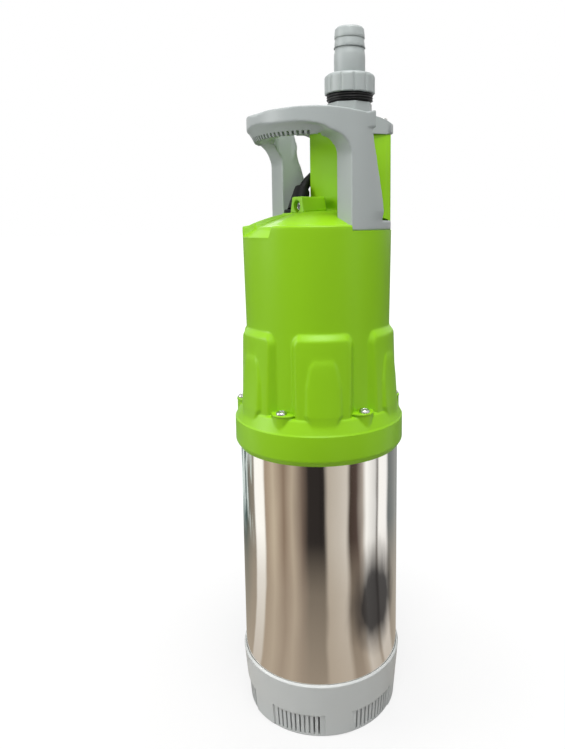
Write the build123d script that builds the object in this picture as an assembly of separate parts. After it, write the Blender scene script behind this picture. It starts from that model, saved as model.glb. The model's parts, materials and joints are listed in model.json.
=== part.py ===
from build123d import *
from math import asin, cos, degrees, pi, radians, sin, sqrt, tan
import os

# Submersible multistage pump, millimetres, +Z up.
# The origin is the centre of the foot. The cable clamp faces -Y and the outlet stands towards +Y.

# Clearances
fit_gap = 0.3
running_gap = 0.05
seat_gap = 0.1

# Strainer base
rim_lip = 2.3
base_taper = 4.7
base_height = 54.0
base_wall = 3.0
base_seat_z = 46.0
base_ledge = 4.0
base_ledge_land = 4.0
base_edge = 1.5
slot_groups = 6
slot_group_turn = -51.4
recess_angle = 40.0
recess_height = 23.0
recess_depth = 1.2
slots_per_group = 10
slot_pitch_angle = 3.5
slot_width = 1.5
slot_low_z = 2.0
slot_high_z = 21.0
base_screw_count = 4
base_screw_inset = 11.4
base_boss_r = 7.0

# Screws, metric 4, and the plates they hold
screw_r = 2.0
screw_head_r = 4.0
screw_head_height = 2.6
screw_bite = 12.0

# Outer tube
tube_inset = 4.6
tube_wall = 1.0
tube_top_z = 266.0
seal_width = 1.8
seal_height = 2.4
seal_groove = 3.0

# Pump stages
suction_plate_height = 6.0
stage_count = 4
stage_height = 24.0
bowl_wall = 8.1
eye_r = 20.5
impeller_gap = 7.0
impeller_base = 3.0
shroud = 2.0
impeller_channel = 5.5
blade_count = 6
blade_thickness = 2.0
blade_sweep = 62.0
return_blade_count = 8
return_blade_height = 6.0
return_blade_sweep = -48.0
diffuser_plate = 2.5
diffuser_gap = 8.0
wear_ring_wall = 2.0
wear_ring_reach = 1.5
tie_rod_count = 3
tie_rod_r = 2.5
tie_rod_inset = 4.5
tie_rod_turn = 30.0

# Shaft, seal and bearings
pump_shaft_r = 6.0
motor_shaft_r = 7.5
hub_r = 10.0
spacer_r = 9.0
nut_r = 9.0
nut_height = 6.0
seal_head_r = 12.0
seal_head_height = 12.0
seal_seat_height = 6.0
bearing_r = 17.5
bearing_height = 11.0
bearing_wall = 4.5

# Motor
can_gap = 14.0
can_wall = 1.5
can_height = 270.0
bracket_flange = 6.0
bracket_ring_height = 20.0
web_thickness = 5.0
web_count = 6
stator_height = 90.0
stator_lift = 30.0
rotor_r = 27.6
air_gap = 0.4
winding_height = 18.0
winding_in_r = 30.0
winding_inset = 6.0
end_ring = 4.0
bracket_gap = 2.0
upper_bracket_height = 18.0
capacitor_r = 16.0
capacitor_height = 72.0
capacitor_x = 25.0
terminal_size = 20.0
terminal_height = 26.0
lid_plug = 6.0
lid_flange = 6.0

# Clamp ring between tube and shell
clamp_spigot = 12.0
clamp_collar = 13.0
clamp_ring_wall = 7.4

# Upper shell
flange_r = 79.0
flange_undercut = 3.3
flange_low_z = 257.6
flange_chamfer = 5.0
flange_high_z = 285.4
flange_edge = 2.0
flange_ledge = 12.0
shoulder_inset = 6.0
shoulder_z = 297.0
shoulder_top_z = 298.5
body_flare = 1.0
rim_z = 459.0
rim_edge = 1.5
rim_land = 6.0
dome_foot_z = 459.8
dome_mid_r = 25.0
dome_mid_z = 472.0
dome_top_z = 474.5
shell_wall = 4.0
cavity_top_z = 446.0
panel_count = 6
panel_half_angle = 25.85
panel_sink = 9.0
panel_rise = 16.0
panel_draft = 24.5
panel_corner = 8.5
panel_top_z = 370.3
panel_shoulder_z = 364.7
panel_top_rise = 3.7
panel_mid_z = 313.0
panel_mid_rise = 5.3
panel_foot_rise = 6.0
buttress_top_z = 346.0
buttress_wide_z = 300.0
buttress_top_half = 10.9
buttress_wide_half = 16.1
buttress_foot_half = 12.0
buttress_draft = 30.0
buttress_top_rise = 5.3
buttress_foot_rise = 8.6
boss_count = 6
boss_turn = 30.0
boss_pitch_rise = 4.5
boss_top_z = 300.5
boss_low_r = 4.5
boss_high_r = 11.0
boss_plate_z = 299.0
boss_plate_lip = 0.5
boss_face_rise = 9.8
notch_angle = 42.0
notch_length = 10.5
notch_back_z = 457.0
notch_front_z = 449.8
notch_wall_lean = 1.5

# Cable clamp block and gland seat on the dome
block_half_width = 14.8
block_top_half_width = 7.9
block_setback = 40.6
block_top_z = 486.0
block_hole_r = 5.4
block_hole_z = 477.5
block_hole_depth = 5.0
gland_x = -28.0
gland_y = -3.0
gland_r = 8.0
gland_neck_r = 7.5
gland_bore_r = 4.85
gland_hex_r = 11.0
gland_hex_height = 7.0
gland_seat_r = 15.0
gland_seat_z = 472.0

# Riser
riser_half_width = 30.0
riser_front = 27.0
riser_rear = 23.0
riser_top_z = 540.6
riser_edge = 4.0
flare_spread = 8.5
flare_front = 8.0
flare_wide = 12.0
outlet_inset = 29.5
riser_low_bore_r = 17.0
seat_bore_r = 11.0
seat_low_z = 490.0
valve_seat_z = 497.0
valve_bore_r = 16.0
guide_seat_z = 521.0
socket_bore_r = 17.0

# Check valve
valve_disc_r = 13.5
valve_disc_height = 3.0
valve_seal_height = 1.5
valve_stem_r = 2.2
valve_stem_height = 30.0
valve_travel = 7.0
guide_height = 6.0
guide_wall = 3.0
guide_arm = 2.5
guide_hub_r = 4.6
spring_wire_r = 0.7
spring_coil_r = 5.5
spring_turns = 5

# Handle
handle_rise = 0.5
leg_depth = 22.5
leg_front_y = -9.0
leg_rear_inset = 10.0
leg_rear_slope = 7.5
leg_foot_z = 456.0
collar_width = 6.5
collar_top_z = 464.0
leg_cut_z = 458.0
leg_cut_low = 3.0
leg_cut_high = 16.5
leg_cut_outer = 2.0
cap_overhang_x = 3.0
cap_overhang_y = 2.0
cap_top_z = 554.0
cap_seat_z = 553.5
cap_seat_lip = 2.0
grip_inset = 4.0
grip_width = 27.5
grip_end_y = -14.0
grip_top_z = 557.0
grip_outer_low_z = 542.0
grip_inner_low_z = 535.0
grip_arch = 18.0
grip_edge = 3.0
grip_notches = 15
grip_notch_span = 38.0
grip_notch_width = 2.4
grip_notch_reach = 5.0
grip_notch_height = 4.0
handle_screw_inset_x = 2.5
handle_screw_inset_y = 8.5
handle_screw_length = 34.0

# Outlet union and hose tail
spigot_flange_r = 24.0
spigot_flange = 4.4
spigot_flat_r = 19.5
spigot_top_z = 571.0
spigot_bore_r = 13.0
spigot_socket_r = 16.5
spigot_socket_depth = 15.0
adapter_bore_r = 11.5
adapter_shank = 13.0
washer_r = 19.3
washer_height = 1.5
adapter_collar_r = 21.4
adapter_collar = 5.0
adapter_thread_r = 20.0
adapter_top_z = 589.5
gasket_height = 1.5
nut_low_z = 579.3
nut_top_z = 597.0
nut_outer_r = 23.3
nut_thread_gap = 0.4
nut_lobes = 12
nut_groove_r = 2.2
nut_groove_depth = 0.9
nut_shoulder = 3.5
tail_flange = 3.2
tail_r = 14.4
tail_bore_r = 11.0
tail_plain_z = 616.0
tail_relief = 0.4
tail_relief_rise = 0.6
tail_neck_r = 12.9
barb_r = 13.9
barb_low_z = 622.6
barb_high_z = 630.8
tail_top_z = 638.0

# Bend protector, cable, coil and plug
cable_d = 9.5
cable_r = cable_d / 2
protector_flange_r = 13.0
protector_flange = 3.5
protector_low_r = 10.5
protector_top_r = 7.6

# The cable's route: its start from the gland, its fall from the riser's rear, its end from the coil's centre
cable_start = [(-3.0, 7.0, 21.0), (-10.0, 20.0, 36.0), (-16.0, 45.0, 41.0)]
cable_fall = [
    (-48.0, 5.0, 502.0),
    (-49.0, 20.0, 475.0),
    (-49.0, 27.0, 430.0),
    (-46.0, 31.5, 350.0),
    (-45.0, 39.0, 265.0),
    (-42.5, 47.0, 180.0),
]
cable_end = [
    (103.1, 17.4, 110.0),
    (100.6, 21.4, 62.0),
    (93.1, 32.4, 24.0),
    (77.6, 50.4, 5.6),
    (57.6, 65.9, 4.75),
]
coil_turn = 146.6
coil_gap = 1.0
coil_columns = 4
coil_layers = 5
coil_mean_r = 72.4
coil_lift = 1.0
coil_edge = 3.0
tie_width = 12.0
tie_thickness = 0.9
tie_turn = 150.0
tail_start = 20.0
tail_end = 118.0
tail_steps = 6
tail_start_r = 84.0
tail_drift = 32.0
plug_r = 17.5
plug_length = 40.0
plug_neck_r = 7.0
plug_neck = 22.0
plug_tilt_rise = 1.2
pin_r = 2.4
pin_length = 19.0
pin_spacing = 19.0

# Values that follow from the sizes above
tube_r = flange_r - tube_inset
rim_r = tube_r + rim_lip
foot_r = rim_r - base_taper
flange_foot_r = flange_r - flange_undercut
body_low_r = flange_r - flange_ledge
body_high_r = body_low_r + body_flare
dome_foot_r = body_high_r - rim_land
cavity_r = body_low_r - shell_wall
shoulder_r = flange_r - shoulder_inset
panel_plane = body_low_r - panel_sink
panel_half_width = panel_plane * tan(radians(panel_half_angle))
panel_top_r = body_low_r + panel_top_rise
panel_mid_r = body_low_r + panel_mid_rise
panel_foot_r = body_low_r + panel_foot_rise
buttress_top_r = body_low_r + buttress_top_rise
buttress_foot_r = body_low_r + buttress_foot_rise
boss_pitch_r = body_low_r + boss_pitch_rise
boss_face_r = body_low_r + boss_face_rise
notch_back_r = body_high_r - notch_length
block_front_y = block_setback - dome_foot_r
handle_r = body_low_r + handle_rise
leg_inner_x = handle_r - leg_depth
collar_in_r = handle_r - collar_width
grip_r = handle_r - grip_inset
grip_inner_y = grip_width - grip_r
bow_side_x = sqrt(handle_r ** 2 - leg_front_y ** 2)
bow_depth = grip_r + leg_front_y
bow_r = (bow_side_x ** 2 + bow_depth ** 2) / (2 * bow_depth)
outlet_y = handle_r - outlet_inset
riser_front_y = outlet_y - riser_front
riser_rear_y = outlet_y + riser_rear
flare_half_width = riser_half_width + flare_spread
flare_front_y = outlet_y - flare_front
flare_wide_y = outlet_y + flare_wide
leg_rear_low_y = outlet_y - leg_rear_inset
leg_rear_high_y = leg_rear_low_y - leg_rear_slope
cap_half_width = riser_half_width + cap_overhang_x
cap_front_y = riser_front_y - cap_overhang_y
cap_rear_y = riser_rear_y + cap_overhang_y
handle_screw_x = riser_half_width - handle_screw_inset_x
handle_screw_y = cap_rear_y - handle_screw_inset_y
tube_in_r = tube_r - tube_wall
insert_r = tube_in_r - fit_gap
hole_r = screw_r + running_gap
stages_z = base_seat_z + suction_plate_height
stages_top_z = stages_z + stage_count * stage_height
bowl_in_r = insert_r - bowl_wall
diffuser_plate_r = bowl_in_r - diffuser_gap
impeller_r = diffuser_plate_r - impeller_gap
tie_rod_pitch_r = insert_r - tie_rod_inset
base_screw_pitch_r = tube_in_r - base_screw_inset
base_ledge_r = base_screw_pitch_r - base_ledge_land
clamp_bore_r = tube_in_r - clamp_ring_wall
can_r = clamp_bore_r - can_gap
winding_out_r = can_r - winding_inset
back_shroud_z = impeller_base + shroud + impeller_channel
diffuser_z = back_shroud_z + shroud + 0.5
return_z = diffuser_z + diffuser_plate
stage_plate_z = return_z + return_blade_height
wear_ring_r = eye_r - 2 * fit_gap
hub_low = impeller_base - 1.0
hub_high = back_shroud_z + shroud
seal_head_z = stages_top_z - 2.0
seal_seat_z = seal_head_z + seal_head_height + seat_gap
can_low_z = stages_top_z + bracket_flange + 6.0
flange_low = can_low_z - bracket_flange
lower_bearing_z = seal_seat_z + seal_seat_height + 2.0
stator_z = can_low_z + stator_lift
stator_top_z = stator_z + stator_height
upper_bearing_z = stator_top_z + winding_height + bracket_gap
upper_bracket_top_z = upper_bearing_z + upper_bracket_height
shaft_top_z = upper_bearing_z + bearing_height + 1.0
can_in_r = can_r - can_wall
can_top_z = can_low_z + can_height
lid_top_z = can_top_z + lid_flange
insert_can_r = can_in_r - fit_gap
clamp_low_z = tube_top_z - clamp_spigot
clamp_top_z = tube_top_z + clamp_collar
socket_r = tube_r + fit_gap
protector_base = (gland_x, gland_y, gland_seat_z)
coil_in_r = coil_mean_r - coil_columns * cable_d / 2
coil_out_r = coil_mean_r + coil_columns * cable_d / 2
coil_top_z = coil_lift + coil_layers * cable_d
coil_reach = rim_r + coil_gap + coil_out_r
coil_x = coil_reach * cos(radians(coil_turn))
coil_y = coil_reach * sin(radians(coil_turn))
cable_points = [(gland_x + x, gland_y + y, gland_seat_z + z) for x, y, z in cable_start]
cable_points += [(x, riser_rear_y + y, z) for x, y, z in cable_fall]
cable_points += [(coil_x + x, coil_y + y, z) for x, y, z in cable_end]
protector_top = cable_points[0]
spigot_low_z = guide_seat_z + guide_height


# Small helpers


def turned(points, angle=360.0):
    """Revolves a closed (radius, height) outline about the pump axis."""
    outline = Polyline(*[(r, 0, z) for r, z in points], close=True)
    return revolve(make_face(outline), axis=Axis.Z, revolution_arc=angle)


def drum(r, z0, z1, x=0.0, y=0.0):
    """A solid round from z0 to z1."""
    return Pos(x, y, z0) * Cylinder(r, z1 - z0, align=(Align.CENTER, Align.CENTER, Align.MIN))


def ring(r_out, r_in, z0, z1, x=0.0, y=0.0):
    """A round with a through bore."""
    return drum(r_out, z0, z1, x, y) - drum(r_in, z0 - 1, z1 + 1, x, y)


def block(x0, x1, y0, y1, z0, z1):
    """A box between two corners."""
    centre = ((x0 + x1) / 2, (y0 + y1) / 2, (z0 + z1) / 2)
    return Pos(*centre) * Box(x1 - x0, y1 - y0, z1 - z0)


def around(part, count, first=0.0):
    """Copies of a part, evenly spaced about the pump axis."""
    return [Rot(0, 0, first + 360 * i / count) * part for i in range(count)]


def front_plate(points, y0, depth, draft=0.0, corner=0.0):
    """An (x, z) outline drawn on the plane y = -y0 and raised towards -Y."""
    outline = Polyline(*points, close=True)
    face = make_face(outline)
    if corner:
        tops = face.vertices().sort_by(Axis.Y)[-2:]
        face = fillet(tops, corner)
    return extrude(Plane.XZ.offset(y0) * face, amount=depth, taper=draft)


def pan_screw(head_z, length, x, y):
    """A pan head screw that stands on head_z and points down."""
    shank = drum(screw_r, head_z - length, head_z + 1, x, y)
    head = drum(screw_head_r, head_z, head_z + screw_head_height, x, y)
    rim = head.edges().group_by(Axis.Z)[-1]
    return shank + fillet(rim, screw_head_height * 0.6)


def blade(r_in, r_out, sweep_angle, z0, z1):
    """A curved blade of even thickness between two radii."""
    stations = [(r_in, 0.0), ((r_in + r_out) / 2, 0.42), (r_out, 1.0)]
    sides = []
    for side in (1, -1):
        side_points = []
        for r, share in stations:
            angle = radians(sweep_angle * share) + side * blade_thickness / 2 / r
            side_points.append((r * cos(angle), r * sin(angle)))
        sides.append(side_points)
    left, right = sides
    outline = [
        ThreePointArc(*left),
        Line(left[2], right[2]),
        ThreePointArc(*reversed(right)),
        Line(right[0], left[0]),
    ]
    return Pos(0, 0, z0) * extrude(make_face(outline), amount=z1 - z0)


# Strainer base


def base_radius(z):
    """Outer radius of the strainer wall at a height."""
    return foot_r + (rim_r - foot_r) * z / base_height


def make_base():
    lip = base_edge
    outer = turned([
        (0, 0),
        (foot_r - base_edge, 0),
        (base_radius(base_edge), base_edge),
        (base_radius(base_height - lip), base_height - lip),
        (rim_r - lip, base_height),
        (socket_r, base_height),
        (socket_r, base_seat_z),
        (0, base_seat_z),
    ])
    chamber_top_z = base_seat_z - base_ledge
    chamber = turned([
        (0, base_wall),
        (base_radius(base_wall) - base_wall - recess_depth, base_wall),
        (base_radius(chamber_top_z) - base_wall - recess_depth, chamber_top_z),
        (base_ledge_r, chamber_top_z),
        (base_ledge_r, base_seat_z + 1),
        (0, base_seat_z + 1),
    ])
    base = outer - chamber
    recess = turned([
        (base_radius(0) - recess_depth, -1),
        (rim_r + 5, -1),
        (rim_r + 5, recess_height),
        (base_radius(recess_height) - recess_depth, recess_height),
    ], recess_angle)
    recess = Rot(0, 0, -recess_angle / 2) * recess
    slot = block(base_ledge_r, rim_r + 5, -slot_width / 2, slot_width / 2, slot_low_z, slot_high_z)
    first = -slot_pitch_angle * (slots_per_group - 1) / 2
    cuts = []
    for group in range(slot_groups):
        turn = slot_group_turn + 360 * group / slot_groups
        cuts.append(Rot(0, 0, turn) * recess)
        for index in range(slots_per_group):
            cuts.append(Rot(0, 0, turn + first + slot_pitch_angle * index) * slot)
    base -= cuts
    pitch = base_screw_pitch_r
    boss = drum(base_boss_r, base_wall - 1, base_seat_z, pitch)
    base += around(boss, base_screw_count, 45)
    hole = drum(screw_head_r + fit_gap, -1, base_seat_z - base_ledge * 2, pitch)
    hole += drum(hole_r, 0, base_seat_z + 1, pitch)
    return base - around(hole, base_screw_count, 45)


def make_base_screws():
    head_z = base_seat_z - base_ledge * 2
    screw = drum(screw_head_r, head_z - screw_head_height, head_z, base_screw_pitch_r)
    screw += drum(screw_r, head_z, head_z + screw_bite, base_screw_pitch_r)
    return around(screw, base_screw_count, 45)


# Tube, its plates and seals


def make_suction_plate():
    groove_z = base_seat_z + (suction_plate_height - seal_groove) / 2
    plate = drum(insert_r, base_seat_z, stages_z)
    plate -= ring(insert_r + 1, insert_r - seal_width, groove_z, groove_z + seal_groove)
    plate -= drum(eye_r, base_seat_z - 1, stages_z + 1)
    plate -= around(drum(hole_r, base_seat_z - 1, stages_z + 1, base_screw_pitch_r), base_screw_count, 45)
    rod_hole = drum(tie_rod_r + running_gap, base_seat_z - 1, stages_z + 1, tie_rod_pitch_r)
    return plate - around(rod_hole, tie_rod_count, tie_rod_turn)


def make_tube_seal(groove_z):
    gap = (seal_groove - seal_height) / 2
    return ring(tube_in_r - running_gap, insert_r - seal_width + running_gap, groove_z + gap, groove_z + gap + seal_height)


def make_tube():
    return ring(tube_r, tube_in_r, base_seat_z, tube_top_z)


def make_clamp_ring():
    part = ring(insert_r, clamp_bore_r, clamp_low_z, tube_top_z)
    part += ring(tube_r, clamp_bore_r, tube_top_z, clamp_top_z)
    groove_z = clamp_low_z + 4.0
    part -= ring(insert_r + 1, insert_r - seal_width, groove_z, groove_z + seal_groove)
    web = block(can_r + fit_gap, clamp_bore_r + 2, -web_thickness / 2, web_thickness / 2, tube_top_z, clamp_top_z - 2)
    part += around(web, tie_rod_count, tie_rod_turn)
    screw_hole = drum(hole_r, tube_top_z + 1, clamp_top_z + 1, 0, -boss_pitch_r)
    part -= around(screw_hole, boss_count, boss_turn)
    rod_hole = drum(tie_rod_r + running_gap, clamp_low_z - 1, tube_top_z + 7, tie_rod_pitch_r)
    return part - around(rod_hole, tie_rod_count, tie_rod_turn)


def make_tie_rods():
    rod = drum(tie_rod_r, base_seat_z + seat_gap, tube_top_z + 6, tie_rod_pitch_r)
    return around(rod, tie_rod_count, tie_rod_turn)


# Pump stages


def make_bowl(stage):
    z = stages_z + stage * stage_height
    bowl = ring(insert_r, bowl_in_r, z, z + stage_height)
    bowl += ring(diffuser_plate_r, spacer_r + fit_gap, z + diffuser_z, z + return_z)
    bowl += ring(bowl_in_r + 1, eye_r, z + stage_plate_z, z + stage_height)
    vane = blade(eye_r + 4, bowl_in_r + 1, return_blade_sweep, z + return_z - 0.5, z + stage_plate_z + 0.5)
    bowl += around(vane, return_blade_count)
    rod_hole = drum(tie_rod_r + fit_gap, z - 1, z + stage_height + 1, tie_rod_pitch_r)
    return bowl - around(rod_hole, tie_rod_count, tie_rod_turn)


def make_impeller(stage):
    z = stages_z + stage * stage_height
    neck_r = wear_ring_r - wear_ring_wall
    wheel = ring(wear_ring_r, neck_r, z - wear_ring_reach, z + impeller_base + shroud)
    wheel += ring(impeller_r, neck_r, z + impeller_base, z + impeller_base + shroud)
    wheel += drum(impeller_r, z + back_shroud_z, z + hub_high)
    wheel += drum(hub_r, z + hub_low, z + hub_high)
    vane = blade(neck_r - 4, impeller_r - 0.5, blade_sweep, z + impeller_base + shroud - 0.5, z + back_shroud_z + 0.5)
    wheel += around(vane, blade_count)
    return wheel - drum(pump_shaft_r + running_gap, z - 5, z + stage_height)


def make_spacers():
    spacers = []
    for stage in range(stage_count):
        low = stages_z + stage * stage_height + hub_high
        high = stages_z + (stage + 1) * stage_height + hub_low
        if stage == stage_count - 1:
            high = seal_head_z
        spacers.append(ring(spacer_r, pump_shaft_r + running_gap, low, high))
    return spacers


def make_impeller_nut():
    top = stages_z + hub_low
    low = top - nut_height
    hexagon = Pos(0, 0, low) * extrude(RegularPolygon(nut_r, 6), amount=nut_height)
    return hexagon - drum(pump_shaft_r + running_gap, low - 1, top + 1)


# Shaft, seal, bearings


def make_shaft():
    step_z = seal_seat_z + seal_seat_height
    shaft = drum(pump_shaft_r, stages_z + hub_low - nut_height - 2, step_z)
    shaft += drum(motor_shaft_r, step_z, shaft_top_z)
    return chamfer(shaft.edges().group_by(Axis.Z)[-1], 1.0)


def make_seal_head():
    body = ring(seal_head_r, pump_shaft_r + running_gap, seal_head_z, seal_head_z + seal_head_height - 3)
    face = ring(seal_head_r - 2, pump_shaft_r + running_gap, seal_head_z, seal_head_z + seal_head_height)
    return body + face


def make_seal_seat():
    return ring(seal_head_r + 1.2, pump_shaft_r + 1, seal_seat_z, seal_seat_z + seal_seat_height - seat_gap)


def make_bearing(z):
    bearing = ring(bearing_r, motor_shaft_r + running_gap, z, z + bearing_height)
    race_gap = ring(bearing_r - bearing_wall + 1.5, motor_shaft_r + bearing_wall - 1.5, z - 1, z + 1.5)
    return bearing - race_gap


def make_lower_bracket():
    ring_top_z = stages_top_z + bracket_ring_height
    part = drum(can_r + 2, flange_low, can_low_z)
    part += drum(insert_can_r, can_low_z, can_low_z + bracket_flange)
    part += drum(bearing_r + bearing_wall, can_low_z, lower_bearing_z + bearing_height - 1)
    part += ring(insert_r, bowl_in_r, stages_top_z, ring_top_z)
    web = block(can_r, bowl_in_r + 2, -web_thickness / 2, web_thickness / 2, stages_top_z + 2, ring_top_z - 2)
    web -= drum(can_r + fit_gap, can_low_z, ring_top_z)
    part += around(web, web_count, 15)
    part -= drum(seal_head_r + 1.2 + running_gap, flange_low - 1, seal_seat_z + seal_seat_height)
    part -= drum(motor_shaft_r + 1, flange_low, ring_top_z)
    part -= drum(bearing_r + running_gap, lower_bearing_z, lower_bearing_z + 2 * bearing_height)
    rod_hole = drum(tie_rod_r + fit_gap, stages_top_z - 1, ring_top_z + 1, tie_rod_pitch_r)
    return part - around(rod_hole, tie_rod_count, tie_rod_turn)


def make_upper_bracket():
    part = drum(insert_can_r, upper_bearing_z + bearing_wall, upper_bracket_top_z)
    part += drum(bearing_r + bearing_wall, upper_bearing_z, upper_bracket_top_z)
    part -= drum(bearing_r + running_gap, upper_bearing_z - 1, upper_bearing_z + bearing_height)
    return part - drum(motor_shaft_r + 1, upper_bearing_z, shaft_top_z + 1)


# Motor


def make_can():
    return ring(can_r, can_in_r, can_low_z, can_top_z)


def make_stator():
    return ring(insert_can_r, rotor_r + air_gap, stator_z, stator_top_z)


def make_winding():
    lower = ring(winding_out_r, winding_in_r, stator_z - winding_height, stator_z)
    upper = ring(winding_out_r, winding_in_r, stator_top_z, stator_top_z + winding_height)
    return [lower, upper]


def make_rotor():
    core = drum(rotor_r, stator_z, stator_top_z)
    core += drum(rotor_r - 2, stator_z - end_ring, stator_top_z + end_ring)
    return core - drum(motor_shaft_r + running_gap, stator_z - 10, stator_top_z + 10)


def make_capacitor():
    part = drum(capacitor_r, upper_bracket_top_z, upper_bracket_top_z + capacitor_height, capacitor_x)
    return fillet(part.edges().group_by(Axis.Z)[-1], 2.0)


def make_terminal_block():
    half = terminal_size / 2
    return block(gland_x - half, gland_x + half, gland_y - half, gland_y + half, upper_bracket_top_z,
                 upper_bracket_top_z + terminal_height)


def make_lid():
    lid = drum(insert_can_r, can_top_z - lid_plug, can_top_z)
    lid += drum(can_r, can_top_z, lid_top_z)
    return lid - drum(gland_r + running_gap, can_top_z - lid_plug - 1, lid_top_z + 1, gland_x, gland_y)


def make_gland():
    gland = drum(gland_r, can_top_z - lid_plug, lid_top_z, gland_x, gland_y)
    hexagon = extrude(RegularPolygon(gland_hex_r, 6), amount=gland_hex_height)
    gland += Pos(gland_x, gland_y, lid_top_z) * hexagon
    gland += drum(gland_neck_r, lid_top_z, gland_seat_z - seat_gap, gland_x, gland_y)
    return gland - drum(gland_bore_r, can_top_z - 20, gland_seat_z + 1, gland_x, gland_y)


def make_inner_lead():
    low = upper_bracket_top_z + terminal_height
    return drum(cable_r, low, gland_seat_z - seat_gap, gland_x, gland_y)


# Upper shell


def shell_body():
    """The turned body: flange with its shoulder, wall, rim and shallow dome, hollow inside."""
    outline = [
        Line((socket_r, 0, flange_low_z), (flange_foot_r, 0, flange_low_z)),
        Line((flange_foot_r, 0, flange_low_z), (flange_r, 0, flange_low_z + flange_chamfer)),
        Line((flange_r, 0, flange_low_z + flange_chamfer), (flange_r, 0, flange_high_z - flange_edge)),
        ThreePointArc(
            (flange_r, 0, flange_high_z - flange_edge),
            (flange_r - flange_edge * 0.293, 0, flange_high_z - flange_edge * 0.293),
            (flange_r - flange_edge, 0, flange_high_z),
        ),
        Line((flange_r - flange_edge, 0, flange_high_z), (shoulder_r, 0, shoulder_z)),
        Line((shoulder_r, 0, shoulder_z), (body_low_r, 0, shoulder_top_z)),
        Line((body_low_r, 0, shoulder_top_z), (body_low_r, 0, panel_top_z)),
        Line((body_low_r, 0, panel_top_z), (body_high_r, 0, rim_z - rim_edge)),
        Line((body_high_r, 0, rim_z - rim_edge), (body_high_r - rim_edge, 0, rim_z)),
        Line((body_high_r - rim_edge, 0, rim_z), (dome_foot_r, 0, dome_foot_z)),
        ThreePointArc((dome_foot_r, 0, dome_foot_z), (dome_mid_r, 0, dome_mid_z), (0, 0, dome_top_z)),
        Line((0, 0, dome_top_z), (0, 0, cavity_top_z)),
        Line((0, 0, cavity_top_z), (cavity_r, 0, cavity_top_z)),
        Line((cavity_r, 0, cavity_top_z), (cavity_r, 0, clamp_top_z)),
        Line((cavity_r, 0, clamp_top_z), (socket_r, 0, clamp_top_z)),
        Line((socket_r, 0, clamp_top_z), (socket_r, 0, flange_low_z)),
    ]
    return revolve(make_face(outline), axis=Axis.Z)


def shell_panel():
    """A raised panel with sloping edges, cut to its own turned face."""
    low_z = flange_high_z - 5
    high_z = panel_top_z + 3.5
    half = panel_half_width
    plate = front_plate(
        [(-half, low_z), (half, low_z), (half, high_z), (-half, high_z)],
        panel_plane, panel_rise, panel_draft, panel_corner,
    )
    face = turned([
        (body_low_r - 3, low_z),
        (panel_foot_r, low_z),
        (panel_foot_r, flange_high_z),
        (panel_mid_r, panel_mid_z),
        (panel_top_r, panel_shoulder_z),
        (body_low_r, panel_top_z),
        (body_low_r - 3, panel_top_z),
    ])
    return plate & face


def shell_buttress():
    """The tapered rib in the middle of a panel."""
    low_z = flange_high_z - 4
    plane = panel_top_r - 2
    spread = 3.0 * tan(radians(buttress_draft))
    outline = [
        (-buttress_foot_half - spread, low_z),
        (buttress_foot_half + spread, low_z),
        (buttress_wide_half + spread, buttress_wide_z - 3),
        (buttress_wide_half + spread, buttress_wide_z + 5),
        (buttress_top_half + spread, buttress_top_z + spread),
        (-buttress_top_half - spread, buttress_top_z + spread),
        (-buttress_wide_half - spread, buttress_wide_z + 5),
        (-buttress_wide_half - spread, buttress_wide_z - 3),
    ]
    plate = front_plate(outline, plane, 12.0, buttress_draft)
    face = turned([
        (body_low_r - 3, low_z),
        (buttress_foot_r, low_z),
        (buttress_foot_r, buttress_wide_z),
        (buttress_top_r, buttress_top_z),
        (body_low_r - 3, buttress_top_z + 3),
    ])
    return plate & face


def shell_boss():
    """The leaning half cone that carries a flange screw, with its round seat."""
    low = Pos(0, boss_low_r - boss_face_r, flange_high_z - 1) * Circle(boss_low_r)
    high = Pos(0, boss_high_r - boss_face_r, boss_plate_z) * Circle(boss_high_r)
    seat = drum(boss_high_r + boss_plate_lip, boss_plate_z, boss_top_z, 0, boss_high_r - boss_face_r)
    return loft([low, high]) + seat


def shell_notch():
    """The cutter of the sloping scoop in the front of the rim."""
    cutter = turned([
        (notch_back_r, notch_back_z),
        (body_high_r + 2, notch_front_z - 0.5),
        (body_high_r + 2, dome_top_z),
        (notch_back_r - notch_wall_lean * 3, dome_top_z),
    ], notch_angle)
    return Rot(0, 0, -90 - notch_angle / 2) * cutter


def clamp_block():
    half = block_half_width
    top = block_top_half_width
    outline = [(-half, rim_z), (half, rim_z), (top, block_top_z), (-top, block_top_z)]
    depth = riser_front_y + 2 - block_front_y
    part = front_plate(outline, -block_front_y - depth, depth)
    part = chamfer(part.edges().group_by(Axis.Z)[-1], 1.2)
    bore = Pos(0, block_front_y - 1, block_hole_z) * Rot(-90, 0, 0)
    align = (Align.CENTER, Align.CENTER, Align.MIN)
    part -= bore * Cylinder(block_hole_r, block_hole_depth + 1, align=align)
    return part - bore * Cylinder(hole_r, block_hole_depth + screw_bite + 2, align=align)


def riser_body():
    """The riser's block, which widens to the rear above the handle's collar."""
    part = block(-riser_half_width, riser_half_width, riser_front_y, riser_rear_y, rim_z - 3, riser_top_z)
    part = fillet(part.edges().filter_by(Axis.Z), riser_edge)
    low_z = collar_top_z + fit_gap
    flare = Polyline(
        (-riser_half_width, flare_front_y), (-flare_half_width, flare_wide_y), (-flare_half_width, riser_rear_y),
        (flare_half_width, riser_rear_y), (flare_half_width, flare_wide_y), (riser_half_width, flare_front_y),
        close=True,
    )
    part += Pos(0, 0, low_z) * extrude(make_face(flare), amount=riser_top_z - low_z)
    return part & drum(handle_r, rim_z - 3, riser_top_z)


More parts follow.
